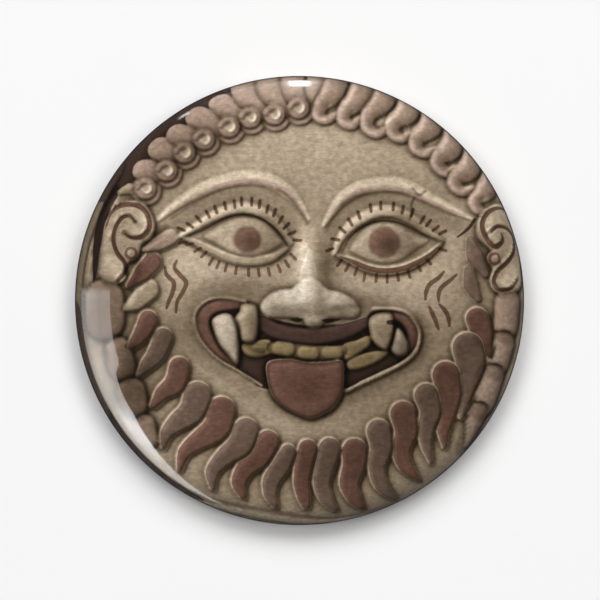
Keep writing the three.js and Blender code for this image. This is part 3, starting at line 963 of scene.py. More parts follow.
@dataclass
class GorgonPrint:
    """The printed picture: a gorgon's face as a painted clay relief. Millimetres on the flat paper."""

    light_from_deg: float = 128.0
    light_height_deg: float = 42.0
    contrast: float = 1.4
    darkest: float = 0.03
    highlight_share: float = 0.7  # of the light over that on flat clay
    warmth: tuple[float, ...] = (1, 1.08, 1.2)  # powers of the light in red, green and blue
    half_width: float = 32.5  # of the board
    board_points: int = 1024
    bleed: float = 31.4  # how far out the drawing goes, past which its edge runs on

    def draw(self) -> Board:
        """Draws the whole picture, from the ground up.

        Returns:
            The board that holds it.
        """
        self.board = Board(self.half_width, self.board_points)
        outer = (self.rim, self.face, self.braids, self.beard, self.sideburns, self.hair)
        inner = (self.ears, self.brows, self.eyes, self.cheeks, self.mouth, self.nose)
        for step in outer + inner:
            step()
        return self.board

    def picture_light(self, x: np.ndarray, y: np.ndarray) -> np.ndarray:
        """Gives the light of the picture on the paper.

        Args:
            x: Places on the paper, across.
            y: Places on the paper, up.

        Returns:
            Its red, green, blue and alpha at each place. Shadows are warm.
        """
        light = self.board.sample(self.board.light(self.light_from_deg, self.light_height_deg), x, y)
        light = np.clip(light, self.darkest, None) ** self.contrast
        light = np.where(light > 1, 1 + (light - 1) * self.highlight_share, light)
        return np.column_stack([*(light**power for power in self.warmth), np.ones_like(light)])

    def path(self, points: Points, radii: tuple[float, ...] | float) -> Place:
        """Measures a smooth stroke.

        Args:
            points: The points that its middle goes through.
            radii: Half its width, one value or several that are evenly spaced along it.

        Returns:
            The window that it lies in, and the distance there.
        """
        line = smooth_path(points)
        return self.board.stroke(line, taper(radii, len(line)) if isinstance(radii, tuple) else radii)

    def form(
        self, place: Place, paint: Paint | None, height: float, edge: float, level: float = 0,
        inset: float = 0, over: bool = True
    ) -> None:
        """Paints a stroke or shape and raises it. The values are those of lay and carve."""
        self.board.lay(place, paint, inset)
        self.board.carve(place, height, edge, level, over)

    def patch(
        self, outline: Points, paint: Paint | None, height: float, edge: float, level: float = 0,
        inset: float = 0
    ) -> None:
        """Paints and raises the form inside a smooth closed outline."""
        self.form(self.board.shape(smooth_path(outline, closed=True)), paint, height, edge, level, inset)

    def tint(
        self, points: Points, radius: float, amount: float, soft: float, shift: Spot = (0, 0),
        closed: bool = False
    ) -> None:
        """Lightens or darkens along a smooth line, moved by a shift. The other values are those of glaze."""
        self.board.glaze(smooth_path(points, closed) + shift, radius, amount, soft)

    def rim(self) -> None:
        """Draws the ground outside the hair: a plain band, a dark groove inside it, a ledge line and painted
        shade along the outer edge.
        """
        board = self.board
        self.form(board.stroke(spiral((0, 0), 30.6, 30.6, 146, 62), 2.4), Paint.RIM, 0.5, 0.7)
        board.lay(board.stroke(spiral((0, 0), 29.6, 29.9, 88, 62), 2), Paint.MAROON)
        board.lay(self.path([(-10.1, 26.2), (-14.2, 23.1), (-18.1, 20), (-21.2, 16.9), (-23.8, 14.4),
            (-25.2, 11.5), (-25.9, 8.4), (-26.2, 5), (-26.3, 2.1)],
            (0.9, 1.1, 1.3, 1.2, 1, 0.8, 0.65, 0.4, 0.15)), Paint.MAROON)
        board.cut(self.path([(-23.8, 14.4), (-25.2, 11.5), (-25.9, 8.4), (-26.2, 5), (-26.3, 2.1)],
            (0.7, 0.7, 0.6, 0.3)), 0.5, 0.7)
        # A dark band on the lower left edge: partly the picture's dark ground, partly painted shade where the
        # film turns under
        board.lay(board.stroke(spiral((0, 0), 31, 31.3, 184, 58), 2.5), Paint.MAROON)
        # Painted shade: darkens the print all round its outer edge, where the rim turns down
        board.glaze(spiral((0, 0), 31.4, 31.4, 170, 360), 0.6, -0.25, 0.8)
        ledge = [(-13.6, -25.1), (-10.4, -25.9), (-7.1, -26.6), (-3.8, -27.1), (0.1, -27.8), (4, -28.5),
            (8.3, -28), (12.3, -26.9)]
        self.form(self.path([(-15.1, -27.4), (-7.2, -27.8), (0.1, -29.2), (5.5, -29.6), (11.8, -29)], 0.8),
            None, 0.4, 0.6)
        self.tint(ledge, 0.32, -0.25, 0.2)
        board.line(self.path(ledge, (0.05, 0.28, 0.34, 0.3, 0.1)), Paint.HAIR)

    def face(self) -> None:
        """Swells the broad forms of the face and shades its large patches."""
        board = self.board
        for centre, size, height in FACE_HILLS:
            board.swell(centre, size, height)
        for centre, size, amount in FACE_SHADES:
            board.shade(centre, size, amount)
        for line, radius, amount, soft in FACE_LINES:
            self.tint(line, radius, amount, soft)
        for x, y in [(1.9, 20.3), (5.1, 20), (8.3, 20.2), (14.5, 18.4), (-18.3, 2.3), (-18, -0.2)]:
            board.glaze(np.array([[x, y], [x + 0.3, y + 0.1]]), 0.12, -0.35, 0.2)

    def braids(self) -> None:
        """Draws a braid of beads hanging down each side, inside the rim."""
        for line, radii in BRAID_BEADS:
            self.board.glaze(np.array(line), max(radii) + 0.35, -0.3, 0.3)
            self.form(self.path(line, radii), Paint.HAIR, 0.8, 1.8, 0.2)
            self.board.glaze(np.array(line) + (-0.4, 0.3), 0.7, 0.16, 0.9)

    def lock(self, line: Points, radii: tuple[float, ...], paint: Paint | None) -> None:
        """Draws one flame lock: a raised band with a bare edge and a dark groove behind it.

        Args:
            line: Its middle, from the round head to the thin tail.
            radii: Its half widths along it.
            paint: Its colour, or None for bare clay.
        """
        middle = smooth_path(line)
        wide = taper(radii, len(middle))
        self.form(self.board.stroke(middle + (0.42, -0.36), wide * 0.95), None, 0.25, 0.3, 0)
        self.board.glaze(middle + (0.45, -0.4), wide, -0.30, 0.25)
        self.form(self.board.stroke(middle, wide * 1.06 + 0.10), None, 0.35, 0.4, 0.25)
        self.board.lay(self.board.stroke(middle + (0.05, -0.04), wide * 1.06 - 0.06), paint)
        self.board.glaze(middle + (-0.15, 0.15), wide * 0.45, 0.18, 0.8)

    def beard(self) -> None:
        """Draws the row of flame locks round the chin, red and grey in turn."""
        for index, (line, radii) in enumerate(LOCKS):
            self.lock(line, radii, Paint.GREY if index % 2 else Paint.RED)

    def sideburns(self) -> None:
        """Draws the short locks between each ear and the face."""
        for line, radii, paint in SIDE_LOCKS:
            self.lock(line, radii, paint)
        for line, radii in (
            ([(21.8, 3.9), (22, 2.1), (22.9, 0.2)], (0.7, 1, 0.5)),
            ([(21.9, 7.8), (22.5, 5.7), (23.8, 3.4)], (0.5, 1.1, 0.6)),
        ):
            self.form(self.path(line, radii), Paint.GREY, 0.3, 1, 0.1)

    def hair(self) -> None:
        """Draws the curls over the forehead, round on the left and hooked on the right."""
        board = self.board
        self.form(self.path([(-23.1, 13.9), (-21.8, 14.3)], (0.4, 0.75)), None, 0.4, 0.7, 0.1)
        for x, y in ROUND_CURLS:
            under = dot(x + 0.15, y - 0.3)
            self.form(board.stroke(under, 1.95), Paint.HAIR, 0.45, 0.5)
            board.glaze(under, 2, -0.14, 0.3)
        for line, radii in ROUND_LOBES:
            board.glaze(np.array(line) + (0.2, 0), max(radii) + 0.25, -0.14, 0.35)
            self.form(self.path(line, radii), Paint.HAIR, 0.42, 1.4, 0.2)
            board.glaze(np.array(line) + (-0.4, 0.3), 0.7, 0.12, 1)
        for line in HOOKED_CURLS:
            middle = smooth_path(line)
            wide = taper((1.75, 1.6, 1.05, 0.78, 0.5), len(middle), (0, 0.2, 0.42, 0.7, 1))
            board.glaze(middle + (-0.25, 0), wide + 0.3, -0.16, 0.3)
            self.form(board.stroke(middle, wide), Paint.HAIR, 0.45, 1.2, 0.2)
            board.glaze(middle, wide - 0.2, -0.04, 0.5)
            side = middle + np.c_[-0.75 * (wide - 0.15), 0.1 * wide]
            lit, dark = 38, 26  # how many of its points have a lit side and a dark one
            board.glaze(side[:lit], 0.24, 0.62, 0.32)
            board.glaze((middle + np.c_[0.55 * wide, -0.25 * wide])[:dark], 0.5, -0.30, 0.8)
        for x, y in ROUND_CURLS:
            self.form(board.stroke(dot(x, y), 1.4), Paint.HAIR, 0.35, 0.7, 0.65)
            curl = spiral((x, y), 1.05, 0.4, 170, -330)
            board.carve(board.stroke(curl, np.linspace(0.42, 0.25, len(curl))), 0.5, 0.4, 0.75)
            board.glaze(spiral((x, y), 0.6, 0.6, -80, 110), 0.12, 0.5, 0.2)
            board.glaze(spiral((x, y), 1.5, 1.5, 200, 150), 0.12, -0.3, 0.2)
        for x, y in ROUND_CURLS + HOOK_ENDS:
            centre = np.array([[x + 0.1, y - 0.1], [x + 0.35, y + 0.15]])
            board.lay(board.stroke(centre, 0.46), None)
            board.glaze(centre, 0.5, 0.6, 0.4)
            board.glaze(centre + (-0.4, 0.4), 0.15, -0.35, 0.3)

    def ears(self) -> None:
        """Draws the ears, each with a large volute, a lobe and a small disc."""
        board = self.board
        for crevice in ([(-19.7, 7.3), (-18.4, 8.2), (-17.2, 9.2)], [(-22, 1.4), (-21.1, 2.9), (-20.5, 4.7)]):
            self.tint(crevice, 0.45, -0.5, 0.5)
        for outline, outer, inner, crescent, lobe, disc in EARS:
            self.tint(outline, 0.4, -0.3, 0.3, closed=True)
            self.patch(outline, None, 0.35, 0.5, 0.35)
            board.shade(tuple(np.mean(outline, axis=0)), (3.6, 5.2), -0.24)
            for line, radius in ((outer, 0.40), (inner, 0.34)):
                board.cut(self.path(line, radius), 0.3, radius)
                board.line(self.path(line, (0.12, radius * 0.8, radius * 0.8, radius * 0.8, 0.15)), Paint.INK)
                self.tint(line, 0.13, 0.65, 0.15, (-0.4, 0.32))
                self.tint(line, 0.12, -0.3, 0.2, (0.35, -0.3))
            self.tint(crescent, 0.45, 0.35, 0.4)
            board.glaze(np.array(lobe), 0.7, 0.30, 0.5)
            self.form(board.stroke(dot(*disc), 0.95), Paint.RED, 0.5, 0.5, 0.5, inset=0.12)
            self.form(board.stroke(dot(*disc), 0.45), None, 0.3, 0.4, 0.8)

    def brows(self) -> None:
        """Draws the brows: a pale raised ridge over a dull line that darkens towards the nose."""
        board = self.board
        for ridge, under in BROWS:
            self.form(self.path(ridge, (0.3, 0.9, 1.05, 0.95, 0.3)), None, 0.32, 1, over=False)
            self.tint(ridge, 0.32, 0.44, 0.5, (-0.1, 0.15))
            band = smooth_path(under) + (0, 0.42)
            wide = taper((0.1, 0.36, 0.36, 0.12), len(band), (0, 0.3, 0.7, 1))
            board.lay(board.stroke(band, wide), Paint.HAIR)
            self.tint(under, 0.07, -0.42, 0.16, (0, -0.05))
        self.tint([(-2.5, 14.3), (-1.1, 13.1), (0.1, 11.6), (1, 9.9)], 0.30, -0.40, 0.35)
        self.tint([(5.2, 12.1), (6.5, 13), (8.3, 13.6)], 0.20, -0.30, 0.3)
        for crack in (
            [(14.5, 14.3), (15.3, 13.5), (16.1, 14)],
            [(14.7, 13.2), (14.3, 12.2), (14.4, 11.2), (14.1, 10.4)],
        ):
            self.tint(crack, 0.14, -0.6, 0.12)
        board.lay(self.path([(20.2, 8.1), (21.5, 9.1), (22.5, 10.4)], (0.1, 0.22, 0.2)), Paint.MAROON)

    def eyes(self) -> None:
        """Draws the eyes: lids, eyeball, iris and lashes."""
        board = self.board
        for lid, above, below, ball, (centre, size, red), rows in EYES:
            self.form(self.path(lid, (0.4, 0.75, 0.85, 0.75, 0.4)), None, 0.55, 0.8, 0, over=False)
            crest = 5 * SPAN_STEPS
            board.glaze(smooth_path(lid)[:crest] + (0, 0.05), 0.42, 0.34, 0.35)
            board.glaze(smooth_path(lid)[crest:] + (0, -0.1), 0.4, -0.28, 0.4)
            self.form(self.path(below, (0.3, 0.7, 0.75, 0.7, 0.3)), None, 0.45, 0.7, 0, over=False)
            if red:
                board.lay(self.path(below, (0.05, red, red, red, 0.05)), Paint.INK)
            self.tint(below, 0.5, -0.26, 0.3, (0, -0.1))
            self.tint(below, 0.25, -0.45, 0.35, (0.1, -0.6))
            self.patch(ball, None, 0.6, 2.6, -0.1)
            self.tint(ball, 0.2, -0.28, 0.4, closed=True)
            self.tint(above, 0.16, -0.5, 0.2)
            board.lay(self.path(above, (0.05, 0.12, 0.1, 0.1, 0.05)), Paint.INK)
            board.glaze(smooth_path(below)[4:-3] + (-0.03, 0.42), 0.10, 0.40, 0.12)
            board.lay(board.stroke(dot(*centre, 0.05), size * 0.92), Paint.IRIS)
            board.shade((centre[0] + 0.7, centre[1] - 0.4), (size * 0.75, size * 0.75), -0.42)
            board.shade((centre[0] + 3.4, centre[1] - 0.1), (1.7, 2.4), -0.42)
            board.shade((centre[0] - 0.8, centre[1] + 1), (1.1, 0.8), 0.10)
            for row, end, amount in zip(rows, (0.48, 0.46), (-0.22, 0.06)):
                self.lashes(row, centre, -0.42, end, amount)

    def lashes(self, row: Points, middle: Spot, start: float, end: float, amount: float) -> None:
        """Draws a row of short lashes that point away from an eye's middle.

        Args:
            row: The middle of each lash.
            middle: The eye's middle.
            start: Where each starts, along its direction.
            end: Where each ends.
            amount: Share of the tone that it adds to its ink.
        """
        for lash in np.array(row):
            out = (lash - middle) * (0.35, 1)
            out = out / np.hypot(*out)
            line = np.array([lash + out * start, lash + out * end])
            self.board.line(self.board.stroke(line, 0.21))
            self.board.glaze(line, 0.2, amount, 0.1)

    def cheeks(self) -> None:
        """Draws two wavy lines on each cheek."""
        for line in CHEEK_LINES:
            self.board.cut(self.path(line, 0.25), 0.03, 0.3)
            self.board.line(self.path(line, (0.16, 0.28, 0.30, 0.28, 0.16)), Paint.INK)

    def mouth(self) -> None:
        """Draws the wide mouth: lips, gape, teeth, tongue and tusks."""
        board = self.board
        gape = [(-7.7, -0.2), (-9.5, 0.2), (-11.3, 0.1), (-12.6, -0.8), (-13.1, -2.3), (-12.9, -4.1),
            (-11.7, -6), (-10, -7.6), (-8.2, -8.7), (-6.1, -10), (-4.1, -11.3), (5.7, -11.3), (7.8, -10.3),
            (10.4, -9.1), (13, -7.8), (14.5, -6.3), (15.1, -4.6), (14.7, -3), (13.5, -1.9), (11.7, -1.4),
            (9.4, -1.5), (7.8, -2.5), (1.6, -3.3), (-4.8, -2)]
        self.tint(gape[:10], 0.4, -0.25, 0.3)
        self.patch(gape, Paint.MAROON, 0, 0.5, -0.3)
        for line, radii, paint in LIPS:
            self.form(self.path(line, radii), paint, 0.4, 0.6, -0.1)
        rim = [(9.5, -1.1), (12, -1.1), (13.9, -1.7), (15.2, -3.3), (15.4, -5), (14.7, -6.8), (13, -8.2),
            (10.4, -9.5), (7.8, -10.7), (6, -11.6)]
        self.form(self.path(rim, 0.26), None, 0.35, 0.26, 0.2)
        self.tint(rim, 0.2, -0.4, 0.3, (0.35, -0.35))
        self.form(self.path([(-6.9, -0.1), (-9.2, 0.3), (-11.4, 0.1), (-12.9, -1), (-13.4, -2.5),
            (-12.9, -4.6), (-11.6, -6.4), (-10, -7.8), (-7.7, -9.1), (-4.8, -10.9)], 0.18),
            None, 0.25, 0.2, 0.2)
        for outline in SIDE_TEETH:
            self.patch(outline, Paint.TEETH, 0.25, 0.5, 0)
        self.form(self.path([(-3.4, -6.1), (-1.2, -6.4), (1.6, -6.7), (3.9, -6.7), (5.5, -6.5)],
            (0.7, 0.95, 0.95, 0.7)), Paint.TEETH, 0.2, 0.9, -0.1)
        for line, radius in (
            ([(-2.6, -6.1), (-1.4, -6.3)], 0.92),
            ([(0.6, -6.7), (1.7, -6.8)], 0.88),
            ([(3.7, -6.7), (4.8, -6.7)], 0.85),
            ([(-5.6, -6), (-4.8, -6.3)], 0.5),
        ):
            self.form(self.path(line, radius), Paint.TEETH, 0.45, 0.8, 0.1)
        self.tint([(-4.3, -5.5), (-1.2, -5.2), (1.6, -5.7), (5.2, -5.6), (8.1, -4.5)], 0.16, -0.30, 0.25)
        tongue = [(-4.1, -7.9), (-1.5, -7.4), (0.8, -7.8), (3.2, -7.8), (5.5, -7.7), (5.7, -9.8),
            (5.5, -11.8), (4.5, -13.6), (2.8, -14.7), (1.2, -15.1), (-0.5, -14.5), (-2.1, -13.6),
            (-3.4, -12.3), (-4.1, -10.3)]
        self.tint(tongue, 0.25, -0.5, 0.3, (0.2, -0.25), closed=True)
        self.patch(tongue, Paint.RED, 0.75, 1.5, 0.35, inset=0.14)
        board.shade((0.8, -11), (4.6, 4.2), -0.14)
        self.tint([(0.8, -8.2), (1.1, -10), (1, -11.8)], 0.4, -0.12, 0.6)
        for outline, paint, height in TUSKS:
            self.tint(outline, 0.3, -0.45, 0.25, closed=True)
            self.patch(outline, paint, height, 1.3, 0.35)
        for centre, size, amount in MOUTH_SHADES:
            board.shade(centre, size, amount)
        board.lay(self.path([(11.4, -2.8), (12.3, -2.9), (12.1, -4.2), (11.8, -5.7)],
            (0.3, 0.35, 0.2, 0.15)), Paint.MAROON)

    def nose(self) -> None:
        """Draws the broad nose over the mouth."""
        board = self.board
        board.lay(self.path([(1.2, 6.3), (1.2, 4.5), (1.2, 2.1)], (0.3, 0.8, 1.4)), Paint.IVORY)
        wing = [(-5, -1.1), (-4.7, -0.1), (-3.8, 0.8), (-2.4, 1.4), (-1, 1.6), (0.2, 2.5), (1.4, 3),
            (2.5, 2.5), (3.7, 1.5), (5.2, 1.1), (6.7, 0.3), (7.6, -0.7), (7.8, -1.6), (7, -2.3),
            (5.2, -2.3), (3.6, -2.6), (2.6, -3.4), (1.1, -3.4), (0.1, -2.5), (-2, -2.3), (-4.1, -2.1)]
        self.tint([(-1, 1.7), (-2.4, 1.6), (-4.3, 0.8), (-5.2, -0.6)], 0.25, -0.2, 0.35)
        self.tint([(3.4, 4.7), (3.4, 3.2), (4.2, 1.7), (5.9, 1.2), (7.6, 0.1), (8.2, -1.5)], 0.4, -0.30, 0.6)
        self.patch(wing, Paint.IVORY, 1, 2.8, 0)
        board.swell((1.4, 0.5), (2.2, 1.8), 0.7)
        board.swell((-2.5, -0.5), (1.8, 1.4), 0.3)
        board.swell((5.5, -0.6), (1.8, 1.4), 0.3)
        for centre, size, amount in NOSE_SHADES:
            board.shade(centre, size, amount)
        self.tint([(0.5, 7), (0.3, 5), (0.1, 2.9)], 0.55, 0.34, 0.7)
        self.tint([(0.5, 1.1), (1.2, 0.3), (1.6, -0.7)], 0.5, 0.18, 0.7)
        self.tint([(-4.1, -0.7), (-2.5, -1.2), (-0.5, -1.1)], 0.4, -0.16, 0.6)
        self.tint([(0.3, -1.4), (2.6, -1.5), (5.2, -0.8), (7, -0.7)], 0.35, -0.26, 0.4)
        self.tint([(-1, -2.5), (0.6, -2.9), (2.4, -3.2), (3.9, -2.6)], 0.5, -0.30, 0.4)
        for line in ([(-1.2, -2.4), (-0.3, -2.5), (0.5, -2.4)], [(2.8, -2.5), (3.7, -2.6), (5.2, -2.4)]):
            board.lay(self.path(line, (0.1, 0.32, 0.12)), Paint.MAROON)
        for line in (
            [(-4.5, 0.5), (-3.8, 1.2), (-2.8, 1.7), (-1.2, 1.6)],
            [(5.7, 1), (6.8, 0.5), (7.6, -0.5), (7.9, -1.2)],
        ):
            board.line(self.path(line, (0.1, 0.28, 0.1)), Paint.HAIR)


def metal_wear_group() -> bpy.types.ShaderNodeTree:
    """Makes the wear that the sheet metals and the wire share: rolling lines, soft blotches and fine scuffs.

    Returns:
        The node group. Its outputs are a shade near 1, a roughness share from 0 to 1 and a height.
    """
    group = bpy.data.node_groups.new("metal_wear", "ShaderNodeTree")
    for name, kind in (("Place", "NodeSocketVector"), ("Lines", "NodeSocketFloat"),
        ("Scuffs", "NodeSocketFloat")):
        group.interface.new_socket(name=name, in_out="INPUT", socket_type=kind)
    for name in ("Shade", "Rough", "Height"):
        group.interface.new_socket(name=name, in_out="OUTPUT", socket_type="NodeSocketFloat")
    wiring = Wiring(group)
    given = wiring.tree.nodes.new("NodeGroupInput").outputs
    lines = wiring.noise(wiring.place(given["Place"], (0.02, 1, 1)), 0.07, detail=2)
    lines = wiring.times(wiring.math("SUBTRACT", lines, 0.5), given["Lines"])
    blotch = wiring.noise(given["Place"], 4, detail=4, twist=0.6)
    winding = wiring.noise(given["Place"], 6, detail=1, twist=2.5)
    veins = wiring.apart(winding, 0.5)
    scuff = wiring.times(wiring.ramp(veins, 0, 0.006, 1, 0), wiring.ramp(blotch, 0.42, 0.62))
    scuff = wiring.times(scuff, given["Scuffs"])
    shade = wiring.math("MULTIPLY_ADD", lines, 0.22, wiring.ramp(blotch, 0.25, 0.75, 0.93, 1.03))
    rough = wiring.math("MULTIPLY_ADD", lines, 0.5, wiring.math("MULTIPLY_ADD", scuff, 0.6, blotch),
        clamp=True)
    height = wiring.math("MULTIPLY_ADD", scuff, -0.8, lines)
    outlet = wiring.tree.nodes.new("NodeGroupOutput")
    for name, value in (("Shade", shade), ("Rough", rough), ("Height", height)):
        wiring.tree.links.new(value, outlet.inputs[name])
    return group


@dataclass(frozen=True)
class MetalFinish:
    """A bright metal with fine rolling or drawing lines."""

    name: str
    colour: Colour
    rough_low: float
    rough_high: float
    lines: float
    scuffs: float
    turn_deg: float = 0.0  # of the lines, from the X axis

    def material(self, wear: bpy.types.ShaderNodeTree) -> Material:
        """Makes the material.

        Args:
            wear: The node group of the wear that the metals share.

        Returns:
            The material.
        """
        material, wiring, shader, place = new_material(self.name)
        rotation = (0, 0, math.radians(self.turn_deg))
        turned = wiring.add("Mapping", {"Vector": place, "Rotation": rotation}).outputs[0]
        inputs = {"Place": turned, "Lines": self.lines, "Scuffs": self.scuffs}
        worn = wiring.add("Group", inputs, node_tree=wear)
        colour = wiring.add("VectorMath", {0: self.colour[:3],
            "Scale": worn.outputs["Shade"]}, operation="SCALE")
        rough = wiring.ramp(worn.outputs["Rough"], 0.2, 0.9, self.rough_low, self.rough_high)
        bump = wiring.add("Bump", {"Strength": 0.5, "Distance": 0.008 * MM, "Height": worn.outputs["Height"]})
        surface = {"Metallic": 1, "Base Color": colour.outputs[0],
            "Roughness": rough, "Normal": bump.outputs[0]}
        wiring.feed(shader, surface)
        return material


@dataclass(frozen=True)
class FilmFinish:
    """Clear polyester film, drawn in fine pleats where it turns under the rim."""

    index: float = 1.5
    roughness: float = 0.02
    pleats: float = 150.0
    pleat_height: float = 0.02

    def material(self) -> Material:
        """Makes the clear material, which lets rays from lamps and from the print straight through.

        Returns:
            The material.
        """
        material, wiring, shader, place = new_material("clear_film")
        wiring.feed(shader, {"Transmission Weight": 1, "IOR": self.index, "Base Color": (1, 1, 1, 1)})
        x, y, z = wiring.add("SeparateXYZ", {0: place}).outputs
        angle = wiring.math("ARCTAN2", y, x)
        wander = wiring.noise(place, 5, detail=2)
        phase = wiring.math("MULTIPLY_ADD", wander, 9, wiring.times(angle, self.pleats / 2))
        pleat = wiring.math("POWER", wiring.math("ABSOLUTE", wiring.math("SINE", phase)), 3)
        uneven = wiring.ramp(wander, 0.35, 0.6, 0.2, 1)
        under = wiring.times(wiring.ramp(z, 0.1 * MM, 0.8 * MM, 1, 0), uneven)
        pleated = wiring.times(pleat, under)
        bump = wiring.add("Bump", {"Strength": 1, "Distance": self.pleat_height * MM, "Height": pleated})
        hairlines = wiring.noise(wiring.place(place, (0.05, 1, 1)), 0.15, detail=1)
        rough = wiring.ramp(hairlines, 0.55, 0.8, self.roughness, self.roughness * 2.5)
        wiring.feed(shader, {"Roughness": rough, "Normal": bump.outputs[0]})
        path = wiring.add("LightPath").outputs
        through = wiring.math("MAXIMUM", path["Is Shadow Ray"], path["Is Diffuse Ray"])
        clear = wiring.add("BsdfTransparent", {"Color": (0.96, 0.96, 0.96, 1)})
        shown = wiring.add("MixShader", {0: through, 1: shader.outputs[0], 2: clear.outputs[0]})
        wiring.tree.links.new(shown.outputs[0], material.node_tree.nodes["Material Output"].inputs[0])
        return material


@dataclass(frozen=True)
class PrintFinish:
    """The inks of the print, and the paper's bare back."""

    clay: Colour = display_colour(183, 165, 140)
    bare_paper: Colour = display_colour(226, 224, 216)
    inks: tuple[tuple[Paint, Colour, float], ...] = (  # with half the width of its soft edge, in millimetres
        (Paint.RIM, display_colour(130, 114, 90), 0.06),
        (Paint.HAIR, display_colour(172, 148, 130), 0.08),
        (Paint.GREY, display_colour(124, 103, 89), 0.04),
        (Paint.RED, display_colour(121, 89, 76), 0.04),
        (Paint.MAROON, display_colour(74, 55, 47), 0.06),
        (Paint.LIP, display_colour(106, 79, 68), 0.06),
        (Paint.IRIS, display_colour(122, 94, 78), 0.32),
        (Paint.TEETH, display_colour(142, 124, 90), 0.05),
        (Paint.IVORY, display_colour(200, 185, 164), 0.16),
        (Paint.INK, display_colour(112, 84, 67), 0.05),
    )

    def material(self) -> Material:
        """Makes the print from the distances and the light that the paper's vertices carry.

        Returns:
            The material.
        """
        material, wiring, shader, place = new_material("gorgon_print")
        blotch = wiring.noise(place, 6, detail=4)
        fine = wiring.noise(place, 0.7, detail=4)
        streak = wiring.noise(wiring.place(place, (0.32, 1, 1)), 0.30, detail=3, twist=1.2)
        dull_clay = (*(channel * 0.93 for channel in self.clay[:3]), 1)
        colour = wiring.mix(wiring.ramp(blotch, 0.35, 0.65), dull_clay, self.clay)
        for paint, ink, soft in self.inks:
            distance = wiring.add("Attribute", attribute_name=paint.value).outputs["Fac"]
            cover = wiring.ramp(distance, -soft, soft, 1, 0)
            colour = wiring.mix(cover, colour, ink)
        light = wiring.add("Attribute", attribute_name="clay_light").outputs["Color"]
        colour = wiring.mix(1, colour, light, "MULTIPLY")
        strokes = wiring.ramp(streak, 0.3, 0.7, 0.86, 1.11)
        grain = wiring.times(wiring.ramp(fine, 0.3, 0.7, 0.84, 1.13), strokes)
        pits = wiring.ramp(wiring.noise(place, 0.5, detail=2, twist=0.4), 0.70, 0.76, 1, 0.72)
        grain = wiring.times(grain, pits)
        colour = wiring.add("VectorMath", {0: colour, "Scale": grain}, operation="SCALE").outputs[0]
        printed = wiring.add("Attribute", attribute_name="face_side").outputs["Fac"]
        colour = wiring.mix(printed, self.bare_paper, colour)
        rough = wiring.ramp(fine, 0.3, 0.7, 0.5, 0.6)
        wiring.feed(shader, {"Base Color": colour, "Roughness": rough, "Specular IOR Level": 0.2})
        return material


@dataclass
class ClearFilm:
    """The clear film over the face, rolled under the rim."""

    thickness: float = 0.08
    steps: int = 192

    def build(self, section: RimSection, finish: FilmFinish) -> None:
        """Turns the film round the badge's axis."""
        piece = turn_section("film_cover", section.sheet(0, self.thickness), self.steps)
        finish_piece(piece, "clear_film", finish.material(), 50)


